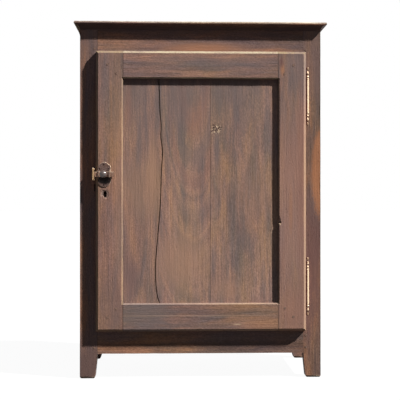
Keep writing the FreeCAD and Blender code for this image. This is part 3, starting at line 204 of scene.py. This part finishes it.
def wood(board, seed, joints, marks):
    """Old wood with its grain along one axis: clouds of colour, growth rings, pores, bevels rubbed bare.

    Marks of one board, with places given as x, z:
    stains: (x, z, half width, half height, colour, strength), faded out at their edges
    flames: the same, with clear edges
    keyholes: (x, z, half width, half height, worn radius, depth), painted shade inside and a worn hollow all
    round
    knots: (x, z, half width, half height), cracked, with bare chips
    figure: (x, z, depth, lean, share), where the heart of the tree runs behind the face, for arched grain
    bands: (distance from the heart, half width, colour, strength), rings with their own colour
    bare_above: (height, share below, colour), height from which the arrises are rubbed most
    """
    graph = Graph(bpy.data.materials.new(f"{board.node}_wood"))
    place = graph.place()
    low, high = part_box(board.node)
    along = AXES[board.grain]
    offset = Vector((seed * 3.17, seed * 1.73, seed * 2.39))

    def grained(share, scale, detail, roughness=0.55, distortion=0.0):
        """Noise drawn out along the grain."""
        stretch = Vector((1, 1, 1)) - along * (1 - share)
        spot = graph.vector("ADD", graph.vector("MULTIPLY", place, stretch), offset)
        return graph.noise(spot, scale, detail, roughness, distortion)

    cloud = grained(0.17, 22.0, 6.0, 0.62, 0.4)
    broad = grained(0.3, 5.5, 2.0)
    tint = grained(0.3, 10.0, 4.0, 0.6)
    lines = grained(0.035, 210.0, 3.0, 0.6)
    pores = graph.step(grained(0.05, 600.0, 1.0), 0.60, 0.74)
    speck = grained(0.55, 290.0, 2.0)

    size = high - low
    through = Vector([float(length == min(size)) for length in size])
    pith = (low + high) / 2 + through * 0.045 + Vector((1, 1, 1)) * 0.02 * math.sin(seed * 2.3)
    lean, ring_share = 0.035, 0.22
    if "figure" in marks:
        x, z, depth, lean, ring_share = marks["figure"]
        pith = Vector((x, low.y + depth, z))
    heart = (along + through * lean).normalized()
    reach = graph.vector("SUBTRACT", place, pith)
    radius = graph.vector("LENGTH", graph.vector("SUBTRACT", reach, graph.vector("PROJECT", reach, heart)))
    radius = graph.total((radius, 1.0), (cloud, 0.016))
    rings = graph.noise(graph.add("ShaderNodeCombineXYZ", {0: radius, 1: seed}).outputs[0], 95.0, 3.0)

    warmth = graph.total((cloud, 1 - ring_share), (rings, ring_share))
    colour = graph.ramp(warmth, tuple(zip(TONE_STEPS, WOODS[board.palette])))
    light = graph.step(broad, 0.25, 0.75, 0.90 * board.tone, 1.10 * board.tone)
    for value, depth in ((lines, 0.13), (speck, 0.19), (rings, 0.2 * ring_share)):
        light = graph.math("MULTIPLY", light, graph.step(value, 0.25, 0.75, 1 - depth, 1 + depth))
    light = graph.math("MULTIPLY", light, graph.step(pores, 0.0, 1.0, 1.0, 0.86))
    colour = graph.vector("MULTIPLY", graph.shade(colour, light), graph.ramp(tint, TINTS))
    height = graph.total((lines, 0.8), (speck, 0.4), (pores, -0.5))

    for distance, half_width, band_colour, strength in marks.get("bands", ()):
        beside = graph.math("ABSOLUTE", graph.math("SUBTRACT", radius, distance))
        ragged = graph.total((beside, 1 / half_width), (lines, 0.8))
        colour = graph.mix(graph.step(ragged, 0.6, 1.7, strength, 0.0), colour, band_colour)

    for kind, cloudiness, inner, outer in (("stains", 1.6, 1.2, 2.5), ("flames", 0.5, 1.3, 1.6)):
        for x, z, half_width, half_height, stain_colour, strength in marks.get(kind, ()):
            reach = graph.ellipse(place, x, z, half_width, half_height)
            ragged = graph.total((reach, 1.0), (cloud, cloudiness), (speck, 0.5))
            colour = graph.mix(graph.step(ragged, inner, outer, strength, 0.0), colour, stain_colour)

    for x, z, half_width, half_height, worn_radius, depth in marks.get("keyholes", ()):
        lobes = graph.noise(place, 90.0, 2.0)
        reach = graph.ellipse(place, x, z, worn_radius, worn_radius)
        ragged = graph.total((reach, 1.0), (lobes, 1.3), (speck, 0.5))
        dent = graph.step(ragged, 1.45, 1.95, 1.0, 0.0)
        colour = graph.mix(graph.math("MULTIPLY", dent, 0.45), colour, GREY_WEAR)
        # Painted shade: the inside of the keyhole and a thin rim round it on the front are coloured dark
        # brown.
        reach = graph.ellipse(place, x, z, half_width, half_height)
        colour = graph.mix(graph.step(reach, 0.9, 1.1, 1.0, 0.0), colour, CRACK_AND_SHADE)
        height = graph.total((height, 1.0), (dent, -depth / BUMP_DEPTH))

    for x, z, half_width, half_height in marks.get("knots", ()):
        reach = graph.ellipse(place, x, z, half_width, half_height)
        ragged = graph.total((reach, 1.0), (graph.noise(place, 120.0, 2.0), 0.9))
        inside = graph.step(ragged, 0.95, 1.45, 1.0, 0.0)
        cracks = graph.step(graph.noise(place, 150.0, 2.0, 0.5, 1.5), 0.47, 0.56)
        chips = graph.step(graph.noise(graph.vector("ADD", place, offset), 170.0, 1.0), 0.54, 0.62)
        colour = graph.mix(graph.math("MULTIPLY", inside, cracks), colour, CRACK_AND_SHADE)
        colour = graph.mix(graph.math("MULTIPLY", inside, chips), colour, BARE_CHIP)
        height = graph.total((height, 1.0), (graph.math("MULTIPLY", inside, cracks), -2.0))

    for joint in joints:
        nearness = graph.math("ABSOLUTE", graph.math("SUBTRACT", graph.split(place)[0], joint))
        shade = graph.step(nearness, 0.0006, 0.0016, JOINT_SHADES[board.palette], 1.0)
        colour = graph.shade(colour, shade)

    if board.wear:
        patches = graph.total((cloud, 0.6), (speck, 0.4))
        rubbing = graph.step(patches, 0.38, 0.60, 0.25 * board.wear, board.wear)
        rubbed = graph.math("MULTIPLY", graph.step(graph.squareness(), 0.88, 0.98, 1.0, 0.0), rubbing)
        bare_wood = RUBBED_WOOD
        if "bare_above" in marks:
            bare_height, share_below, bare_wood = marks["bare_above"]
            share = graph.step(graph.split(place)[2], bare_height - 0.001, bare_height, share_below, 1.0)
            rubbed = graph.math("MULTIPLY", rubbed, share)
        colour = graph.mix(rubbed, colour, bare_wood)

    return graph.surface({
        "Base Color": colour,
        "Roughness": graph.step(cloud, 0.3, 0.7, 0.50, 0.68),
        "Specular IOR Level": WAX_SHINE,
        "Normal": graph.bump(height, BUMP_DEPTH),
    })


def end_grain(name):
    """End grain of pegs, with fine specks."""
    graph = Graph(bpy.data.materials.new(name))
    place = graph.place()
    speck = graph.noise(place, 900.0, 2.0, 0.6)
    cloud = graph.noise(place, 60.0, 3.0)
    colour = graph.ramp(graph.total((speck, 0.6), (cloud, 0.4)), (
        (0.30, srgb(92, 74, 66)), (0.50, srgb(120, 96, 85)), (0.70, srgb(144, 118, 102)),
    ))
    return graph.surface({
        "Base Color": colour,
        "Roughness": graph.step(speck, 0.3, 0.7, 0.6, 0.8),
        "Specular IOR Level": WAX_SHINE,
        "Normal": graph.bump(speck, 0.0004),
    })


def iron(name, dark, bright, edge, roughness, shine=0.1, painted_shadows=()):
    """Forged iron: hammer dents, brown rust film, filed bright along the edges.

    Painted shadows are given as patches (x, z, half width, half height), coloured near black.
    """
    graph = Graph(bpy.data.materials.new(name))
    place = graph.place()
    dents = graph.noise(place, 160.0, 3.0, 0.5)
    rust = graph.noise(place, 420.0, 4.0, 0.65)
    cloud = graph.noise(place, 70.0, 3.0)
    film = graph.ramp(rust, ((0.35, dark), (0.62, bright)))
    colour = graph.mix(graph.step(cloud, 0.45, 0.7, 0.0, 0.4), film, srgb(104, 76, 62))
    arris = graph.step(graph.squareness(), 0.92, 0.985, 1.0, 0.0)
    filed = graph.math("MULTIPLY", arris, graph.step(rust, 0.3, 0.5))
    colour = graph.mix(filed, colour, edge)
    # Painted shadow: near-black patches on the iron.
    for x, z, half_width, half_height in painted_shadows:
        reach = graph.ellipse(place, x, z, half_width, half_height)
        ragged = graph.total((reach, 1.0), (cloud, 0.6))
        colour = graph.mix(graph.step(ragged, 0.9, 1.5, 1.0, 0.0), colour, PAINTED_SHADOW)
    return graph.surface({
        "Base Color": colour,
        "Metallic": graph.step(rust, 0.3, 0.75, 0.25, 0.1),
        "Specular IOR Level": shine,
        "Roughness": graph.step(cloud, 0.3, 0.7, roughness, roughness + 0.2),
        "Normal": graph.bump(graph.total((dents, 1.0), (rust, 0.3)), 0.0006),
    })


# Radius from which the turned hinges are rubbed bright.
BRIGHT_RADIUS = 0.0050


def brass(name, middle, full_radius):
    """Turned brass: bright on the swellings, brown in the grooves, red-brown on the side towards the door."""
    graph = Graph(bpy.data.materials.new(name))
    place = graph.place()
    from_axis = graph.vector("MULTIPLY", graph.vector("SUBTRACT", place, middle), (1.0, 1.0, 0.0))
    stain = graph.noise(place, 240.0, 4.0, 0.6)
    turning = graph.noise(graph.vector("MULTIPLY", place, (0.2, 0.2, 1.0)), 1500.0, 1.0)
    depth = graph.total((graph.vector("LENGTH", from_axis), 1 / full_radius), (stain, 0.12))
    colour = graph.ramp(depth, (
        (0.55, srgb(64, 40, 30)), (0.90, srgb(158, 130, 102)), (1.0, srgb(214, 190, 158)),
    ))
    # Painted shade: red-brown on the side of the hinge towards the door, away from the key light.
    side = graph.total((graph.split(from_axis)[0], 1 / full_radius), (stain, 0.12))
    colour = graph.mix(graph.step(side, -0.35, 0.05, 1.0, 0.0), colour, srgb(112, 46, 34))
    return graph.surface({
        "Base Color": colour,
        "Metallic": 0.4,
        "Roughness": graph.step(stain, 0.3, 0.7, 0.36, 0.54),
        "Normal": graph.bump(graph.total((turning, 0.3), (stain, 0.7)), 0.00003),
    })


def cad_mesh(node):
    """The mesh of a CAD node with whole faces in place of triangles."""
    bm = bmesh.new()
    bm.from_mesh(frame["nodes"][node].data)
    bmesh.ops.remove_doubles(bm, verts=bm.verts, dist=1e-5)
    bmesh.ops.dissolve_limit(bm, angle_limit=math.radians(1), verts=bm.verts, edges=bm.edges)
    return bm


def stand_in(node, bm, material):
    """A finished piece in place of its CAD node, on the same body."""
    mesh = bpy.data.meshes.new(f"{node}_dressed")
    bm.to_mesh(mesh)
    bm.free()
    mesh.materials.append(material)
    piece = bpy.data.objects.new(f"{node}_dressed", mesh)
    bpy.context.scene.collection.objects.link(piece)
    body = next(body for body, members in frame["record"]["behaviour"]["bodies"].items() if node in members)
    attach(piece, body)
    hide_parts(node)
    return mesh


def round_arrises(bm, amount, shortest, chosen):
    """Round the outward arrises that a test picks."""
    def sharp(edge):
        return (len(edge.link_faces) == 2 and edge.is_convex
                and edge.calc_face_angle() > SHARP_ANGLE and edge.calc_length() > shortest)

    arrises = [edge for edge in bm.edges if sharp(edge) and chosen(edge)]
    bmesh.ops.bevel(bm, geom=arrises, offset=amount, segments=2, profile=0.55,
                    affect="EDGES", clamp_overlap=True)


def cut_across(bm, place, axis):
    """Divide the faces that a plane crosses."""
    bmesh.ops.bisect_plane(bm, geom=bm.verts[:] + bm.edges[:] + bm.faces[:], dist=1e-6,
                           plane_co=place, plane_no=axis)


# Dents: cuts along the grain, how far from an arris they reach, waves and chips per metre.
DENT_SPACING = 0.02
DENT_REACH = 0.012
WAVES = 9
CHIPS = 34
CHIP_LIMIT = 0.35
CHIP_GAIN = 2.2


def dent_arrises(bm, low, high, grain, depth, seed, tight):
    """Let the arrises wander inwards along the grain, with a chip here and there."""
    axis = AXES[grain]
    start, end = low.dot(axis), high.dot(axis)
    count = int((end - start) / DENT_SPACING)
    for number in range(1, count):
        cut_across(bm, axis * (start + (end - start) * number / count), axis)
    bm.normal_update()
    shift = Vector((seed * 7.1, seed * 3.3, seed * 5.7))
    moves = []
    for vertex in bm.verts:
        inward = sorted(min(point - near, far - point) for point, near, far in zip(vertex.co, low, high))
        closeness = 0.0 if tight(vertex.co) else max(0.0, 1 - inward[1] / DENT_REACH)
        wave = 0.5 + 0.5 * noise.noise(vertex.co * WAVES + shift)
        chip = max(0.0, noise.noise(vertex.co * CHIPS + shift) - CHIP_LIMIT) * CHIP_GAIN
        moves.append(vertex.normal * (closeness * depth * (wave + chip)))
    for vertex, move in zip(bm.verts, moves):
        vertex.co -= move


# Sliver broken off the inner arris of the hinge stile: it deepens downwards and ends in a ledge.
SLIVER = {"node": "door_hinge_stile", "x": DOOR_JOINTS[1], "top": 0.566, "ledge": 0.539, "depth": 0.0075}
SLIVER_WIDTH = 0.007
SLIVER_SETBACK = 0.008
LEDGE_HEIGHT = 0.001


def break_off(bm, front, sliver):
    """Break a sliver off a front arris."""
    top, ledge = sliver["top"], sliver["ledge"]
    for height in (top, ledge + LEDGE_HEIGHT, ledge):
        cut_across(bm, (0, 0, height), AXES["z"])
    for vertex in bm.verts:
        on_arris = abs(vertex.co.x - sliver["x"]) < SLIVER_WIDTH and vertex.co.y < front + SLIVER_SETBACK
        if on_arris and ledge + SAME < vertex.co.z < top:
            vertex.co.x += sliver["depth"] * (top - vertex.co.z) / (top - ledge)


def dress(board, material, seed, arris, dents, joints):
    """A board with the CAD shape of its node and worn arrises. Wood is only taken away.

    Joints are the places across the front where boards meet, and where the arrises stay sharp.
    """
    bm = cad_mesh(board.node)
    low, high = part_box(board.node)
    crowned = board.node.startswith("cornice")

    def tight(point):
        return any(abs(point.x - joint) < 4 * SAME for joint in joints)

    def crowning(edge):
        on_top = all(abs(vertex.co.z - high.z) < SAME for vertex in edge.verts)
        return on_top and any(all(abs(vertex.co[axis] - outside) < SAME for vertex in edge.verts)
                              for axis, outside in CORNICE_OUTSIDES)

    if crowned:
        round_arrises(bm, CROWN, LONG_ARRIS, crowning)
    round_arrises(bm, arris, LONG_ARRIS, lambda edge: not all(tight(vertex.co) for vertex in edge.verts))
    if dents:
        dent_arrises(bm, low, high, board.grain, dents, seed, tight)
    if board.node == SLIVER["node"]:
        break_off(bm, low.y, SLIVER)
    mesh = stand_in(board.node, bm, material)
    if crowned:
        mesh.shade_smooth()
        mesh.set_sharp_from_angle(angle=math.radians(15))


def file_edges(node, material, amount, upper_only=False):
    """An iron piece with its edges filed round, or only its long upper ones."""
    bm = cad_mesh(node)
    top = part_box(node)[1].z

    def upper(edge):
        return all(abs(vertex.co.z - top) < SAME for vertex in edge.verts)

    if upper_only:
        round_arrises(bm, amount, LONG_ARRIS, upper)
    else:
        round_arrises(bm, amount, amount, lambda edge: True)
    stand_in(node, bm, material)


def paint(node, material):
    """Give a CAD node its material."""
    mesh = frame["nodes"][node].data
    mesh.materials.clear()
    mesh.materials.append(material)


SHOWN_BOARDS = (
    Board("front_left_post", "z", "case", 0.92, 0.4),
    Board("front_right_post", "z", "case", 0.84, 0.4),
    Board("rear_left_post", "z", "case", 0.95, 0.4),
    Board("rear_right_post", "z", "case", 0.95, 0.4),
    Board("front_top_rail", "x", "case", 0.98, 0.4),
    Board("front_bottom_rail", "x", "case", 0.92, 0.4),
    Board("left_top_rail", "y", "case", 1.0, 0.4),
    Board("left_bottom_rail", "y", "case", 1.0, 0.4),
    # Painted shade: the rails of the right side are toned darker, because the key light falls on them more
    # steeply.
    Board("right_top_rail", "y", "case", 0.9, 0.4),
    Board("right_bottom_rail", "y", "case", 0.9, 0.4),
    Board("cornice_front", "x", "case", 0.95, 1.0),
    Board("cornice_left", "y", "case", 0.95, 1.0),
    Board("cornice_right", "y", "case", 0.95, 1.0),
    Board("door_lock_stile", "z", "door", 0.97, 1.0),
    Board("door_hinge_stile", "z", "door", 1.0, 1.0),
    Board("door_top_rail", "x", "door", 0.96, 1.0),
    Board("door_bottom_rail", "x", "door", 0.97, 0.3),
)
PANELS = (
    Board("door_panel_left", "z", "panel", 1.0),
    Board("door_panel_middle", "z", "panel", 1.04),
    Board("door_panel_right", "z", "panel", 1.0),
    Board("left_side_panel", "z", "case", 1.05),
    # Painted shade: toned darker, because the key light falls on the right side more steeply.
    Board("right_side_panel", "z", "case", 0.92),
)
PLAIN_BOARDS = (
    Board("rear_top_rail", "x", "inner", 1.0),
    Board("rear_bottom_rail", "x", "inner", 0.95),
    # Painted shade: the top boards are toned darker, because the key light falls on them steeply.
    Board("top_board_front", "x", "inner", 0.62),
    Board("top_board_rear", "x", "inner", 0.58),
    Board("back_board_1", "z", "inner", 1.0),
    Board("back_board_2", "z", "inner", 0.9),
    Board("back_board_3", "z", "inner", 1.05),
    Board("back_board_4", "z", "inner", 0.95),
    Board("floor_board_front", "x", "inner", 1.0),
    Board("floor_board_middle", "x", "inner", 0.94),
    Board("floor_board_rear", "x", "inner", 1.0),
    Board("floor_bearer_left", "y", "inner", 1.0),
    Board("floor_bearer_right", "y", "inner", 1.0),
    Board("lower_shelf", "x", "inner", 1.0),
    Board("upper_shelf", "x", "inner", 1.04),
    Board("lower_shelf_cleat_left", "y", "inner", 1.0),
    Board("lower_shelf_cleat_right", "y", "inner", 1.0),
    Board("upper_shelf_cleat_left", "y", "inner", 1.0),
    Board("upper_shelf_cleat_right", "y", "inner", 1.0),
)

ORANGE = srgb(160, 114, 86)
FLAME = srgb(166, 112, 78)
GOLDEN = srgb(160, 125, 103)
SLATE = srgb(109, 97, 95)
MAUVE = srgb(118, 94, 89)
REDDISH = srgb(138, 102, 90)
RUSSET = srgb(146, 107, 93)
ROSY = srgb(160, 121, 104)
RED_BROWN = srgb(109, 79, 73)
# Pale olive, as painted light on the shaded cove of the left cornice return.
OLIVE_PAINTED_LIGHT = srgb(152, 140, 112)
SCRATCH = srgb(170, 142, 120)
# Painted shade: a dark brown laid on the cove and the rail under the cornice, along the top of the door's
# panels and along the bottom rail below the door.
PAINTED_SHADE = srgb(64, 48, 45)
FOOT_BROWN = srgb(97, 77, 72)
CORNICE_TOP = CORNICE_HIGH.z
CORNICE_LIP = (CORNICE_TOP - CROWN - 0.001, 0.0, BLEACHED_WOOD)
STILE_ENDS = (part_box("door_top_rail")[1].z - 0.009, 0.5, GOLDEN_WEAR)
# Painted shade along the top of the panels, under the door's top rail.
PANEL_TOP_PAINTED_SHADE = (0.0, 1.042, 9.0, 0.024, PAINTED_SHADE, 0.6)
CORNICE_MARKS = {
    "bare_above": CORNICE_LIP,
    # Painted shade on the cove under the lip of the cornice.
    "stains": ((0.0, CORNICE_TOP - 0.020, 9.0, 0.013, PAINTED_SHADE, 0.9),),
}
MARKS = {
    "cornice_front": CORNICE_MARKS,
    "cornice_left": {
        "bare_above": CORNICE_LIP,
        # Painted light: the cove of the left return is made pale olive, so that it looks lit where it lies in
        # shade.
        "stains": ((-0.43, CORNICE_TOP - 0.020, 9.0, 0.016, OLIVE_PAINTED_LIGHT, 0.7),),
    },
    "cornice_right": CORNICE_MARKS,
    "front_right_post": {"flames": ((0.430, 0.715, 0.044, 0.165, FLAME, 0.70),), "stains": (
        (0.395, 0.60, 0.03, 0.06, SLATE, 0.3),
        (0.39, 1.09, 0.05, 0.12, MAUVE, 0.6),
        (0.39, 0.36, 0.07, 0.26, RED_BROWN, 0.85),
    )},
    "front_left_post": {"stains": ((-0.39, 0.04, 0.07, 0.08, FOOT_BROWN, 0.85),)},
    "front_top_rail": {"stains": (
        (0.010, 1.149, 0.13, 0.019, ORANGE, 0.75),
        # Painted shade on the rail under the cornice.
        (0.0, 1.209, 9.0, 0.028, PAINTED_SHADE, 0.5),
    )},
    # Painted shadow on the lower part of the bottom rail, which makes the door's shadow look longer.
    "front_bottom_rail": {"stains": ((0.0, 0.114, 9.0, 0.014, PAINTED_SHADE, 0.5),)},
    "door_top_rail": {"stains": ((0.07, 1.106, 0.25, 0.022, SLATE, 0.4),)},
    "door_bottom_rail": {"stains": (
        (0.0, 0.264, 9.0, 0.006, MAUVE, 0.6),
        (-0.19, 0.215, 0.10, 0.05, SLATE, 0.7),
        (0.215, 0.190, 0.07, 0.022, ORANGE, 0.35),
        (-0.03, 0.220, 0.30, 0.0016, SCRATCH, 0.5),
        (0.127, 0.190, 0.016, 0.0022, BARE_CHIP, 0.7),
    )},
    "door_hinge_stile": {"bare_above": STILE_ENDS, "stains": (
        (0.320, 0.38, 0.05, 0.16, ROSY, 0.3),
        (0.318, 0.68, 0.08, 0.24, ROSY, 0.5),
        (0.312, 0.59, 0.007, 0.08, ORANGE, 0.4),
        (0.352, 0.70, 0.018, 0.40, REDDISH, 0.6),
        (0.318, 0.22, 0.06, 0.10, RUSSET, 0.6),
        (0.320, 1.08, 0.09, 0.12, SLATE, 0.5),
        (0.284, 1.074, 0.009, 0.026, ORANGE, 0.9),
        (0.280, 1.100, 0.009, 0.022, RED_BROWN, 0.9),
        (SLIVER["x"] + 0.005, SLIVER["ledge"] - 0.002, 0.004, 0.004, BARE_CHIP, 1.0),
    )},
    "door_lock_stile": {
        "bare_above": STILE_ENDS,
        "stains": (
            (-0.286, 0.72, 0.022, 0.35, GOLDEN, 0.35),
            (-0.320, 1.08, 0.09, 0.10, SLATE, 0.35),
            (-0.320, 0.25, 0.09, 0.16, MAUVE, 0.6),
        ),
        "keyholes": ((-0.331, 0.642, 0.0068, 0.0115, 0.016, 0.0014),),
    },
    "door_panel_left": {"stains": (
        (-0.210, 0.66, 0.09, 0.11, GOLDEN, 0.5),
        (-0.213, 0.85, 0.016, 0.13, SLATE, 0.55),
        (-0.168, 0.73, 0.018, 0.14, GOLDEN, 0.7),
        (-0.215, 1.03, 0.14, 0.19, SLATE, 0.6),
        (-0.252, 0.94, 0.014, 0.10, REDDISH, 0.5),
        PANEL_TOP_PAINTED_SHADE,
        (-0.245, 0.36, 0.03, 0.10, MAUVE, 0.75),
    )},
    "door_panel_middle": {
        "stains": (
            (-0.070, 0.41, 0.10, 0.10, GOLDEN, 0.65),
            (-0.055, 1.03, 0.16, 0.17, SLATE, 0.65),
            PANEL_TOP_PAINTED_SHADE,
        ),
        "figure": (-0.024, 1.03, 0.010, -0.24, 0.36),
        "bands": (
            (0.050, 0.016, RUSSET, 0.6),
            (0.080, 0.010, SLATE, 0.5),
            (0.100, 0.008, RUSSET, 0.3),
            (0.125, 0.010, SLATE, 0.25),
        ),
    },
    "door_panel_right": {
        "stains": (
            (0.15, 1.03, 0.18, 0.20, SLATE, 0.65),
            PANEL_TOP_PAINTED_SHADE,
            (0.20, 0.65, 0.07, 0.09, GOLDEN, 0.3),
            (0.055, 0.80, 0.012, 0.08, SLATE, 0.6),
            (0.045, 0.42, 0.015, 0.07, SLATE, 0.5),
            (0.16, 0.48, 0.03, 0.04, SLATE, 0.4),
            (0.09, 0.31, 0.06, 0.04, GOLDEN, 0.4),
        ),
        "knots": ((0.050, 0.867, 0.027, 0.020),),
    },
}


def joints_of(node):
    """Places across the front where this board meets its neighbours."""
    if node.startswith("door_") and not node.startswith("door_panel"):
        return DOOR_JOINTS
    return CASE_JOINTS if node.startswith("front_") else ()


def make_woodwork():
    """Every board, with the rounding of its arrises and the depth of its dents, and the pegs."""
    groups = ((SHOWN_BOARDS, 0.0008, 0.0012), (PANELS, 0.0002, 0.0), (PLAIN_BOARDS, 0.001, 0.0006))
    seed = 0
    for boards, arris, dents in groups:
        for board in boards:
            seed += 1
            joints = joints_of(board.node)
            material = wood(board, seed, joints, MARKS.get(board.node, {}))
            dress(board, material, seed, arris, dents, joints)
    pegs = end_grain("peg_end_grain")
    paint("case_pegs", pegs)
    paint("door_pegs", pegs)


def make_ironwork():
    """The latch with its keeper, the lock and the hinges."""
    bright_edge = srgb(196, 174, 152)
    low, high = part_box("latch_plate")
    # Painted shadow of the bolt and the knob on the lower half of the plate.
    bolt_shadow = ((low.x + high.x) / 2, (low.z + high.z) / 2 - 0.020, 0.028, 0.015)
    plate_iron = iron("plate_iron", srgb(66, 50, 46), srgb(118, 97, 90), bright_edge, 0.45,
                      painted_shadows=(bolt_shadow,))
    bolt_iron = iron("bolt_iron", srgb(94, 68, 57), srgb(150, 120, 103), srgb(232, 208, 182), 0.40)
    knob_iron = iron("knob_iron", srgb(48, 36, 33), srgb(96, 82, 78), srgb(76, 64, 60), 0.22, shine=0.8)
    lock_iron = iron("lock_iron", srgb(60, 50, 44), srgb(110, 94, 82), srgb(130, 114, 100), 0.5)
    nail_iron = iron("nail_iron", srgb(30, 20, 19), srgb(54, 38, 35), srgb(54, 38, 35), 0.22)
    keeper_iron = iron("keeper_iron", srgb(132, 98, 68), srgb(194, 164, 126), bright_edge, 0.35)
    for node in ("latch_plate", "latch_strap_left", "latch_strap_right"):
        file_edges(node, plate_iron, 0.0006)
    file_edges("latch_bolt", bolt_iron, 0.002, upper_only=True)
    file_edges("latch_keeper", keeper_iron, 0.0018)
    paint("latch_nails", nail_iron)
    paint("latch_knob", knob_iron)
    for node in ("lock_plate", "lock_case", "lock_bolt", "lock_screws"):
        paint(node, lock_iron)
    for end in ("upper", "lower"):
        low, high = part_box(f"{end}_hinge_pin")
        metal = brass(f"{end}_hinge_brass", (low + high) / 2, BRIGHT_RADIUS)
        for part in ("case_half", "door_half", "pin"):
            paint(f"{end}_hinge_{part}", metal)


PALE_FLOOR = (0.85, 0.85, 0.85, 1.0)
DULL_FLOOR = (0.070, 0.061, 0.058, 1.0)
BLUISH_SKY = (0.42, 0.66, 1.0, 1.0)
SKY_FILL = 0.125


def make_floor():
    """Pale floor: white where it shows, with the object's shadow, and dull for other light."""
    mesh = bpy.data.meshes.new("floor")
    bm = bmesh.new()
    bmesh.ops.create_grid(bm, x_segments=1, y_segments=1, size=60)
    bm.to_mesh(mesh)
    bm.free()
    floor = bpy.data.objects.new("floor", mesh)
    bpy.context.scene.collection.objects.link(floor)

    graph = Graph(bpy.data.materials.new("floor_pale"))
    pale = graph.add("ShaderNodeBsdfDiffuse", {"Color": PALE_FLOOR}).outputs[0]
    dull = graph.add("ShaderNodeBsdfDiffuse", {"Color": DULL_FLOOR}).outputs[0]
    glow = graph.add("ShaderNodeEmission", {"Color": WHITE, "Strength": 1.0}).outputs[0]
    white = graph.add("ShaderNodeMixShader", {0: 0.95, 1: pale, 2: glow}).outputs[0]
    shader = graph.add("ShaderNodeMixShader", {0: graph.showing(), 1: dull, 2: white}).outputs[0]
    graph.add("ShaderNodeOutputMaterial", {"Surface": shader})
    mesh.materials.append(graph.owner)


def make_sky():
    """White where it shows, a weak bluish fill for everything else."""
    bpy.context.scene.world = bpy.data.worlds.new("sky")
    graph = Graph(bpy.context.scene.world)
    fill = graph.add("ShaderNodeBackground", {"Color": BLUISH_SKY, "Strength": SKY_FILL}).outputs[0]
    white = graph.add("ShaderNodeBackground", {"Color": WHITE, "Strength": 1.0}).outputs[0]
    shader = graph.add("ShaderNodeMixShader", {0: graph.showing(), 1: fill, 2: white}).outputs[0]
    graph.add("ShaderNodeOutputWorld", {"Surface": shader})


def add_sun(name, towards, strength, angle, colour):
    """A sun that shines from a direction, with the angle that it fills in the sky in degrees."""
    lamp = bpy.data.lights.new(name, "SUN")
    lamp.energy = strength
    lamp.angle = math.radians(angle)
    lamp.color = colour
    sun = bpy.data.objects.new(name, lamp)
    sun.rotation_euler = Vector(towards).to_track_quat("Z", "Y").to_euler()
    bpy.context.scene.collection.objects.link(sun)


def make_camera():
    """Nearly front-on, a little left of the middle, as the photo was taken."""
    lens = bpy.data.cameras.new("camera")
    lens.lens = 78.4
    lens.sensor_width = 36.0
    lens.clip_end = 200.0
    camera = bpy.data.objects.new("camera", lens)
    camera.location = (-0.1015, CASE_FRONT - 3.037, 0.6085)
    camera.rotation_euler = (math.radians(90.23), 0.0, math.radians(-1.864))
    bpy.context.scene.collection.objects.link(camera)
    bpy.context.scene.camera = camera


make_camera()
make_floor()
make_sky()
add_sun("key", towards=(2.52, -1.0, 2.73), strength=10.3, angle=2.0, colour=(1.0, 0.98, 0.95))
add_sun("rear_fill", towards=(-1.0, 2.2, 1.2), strength=1.6, angle=60.0, colour=WHITE[:3])
make_woodwork()
make_ironwork()

bpy.context.scene.view_settings.view_transform = "Standard"
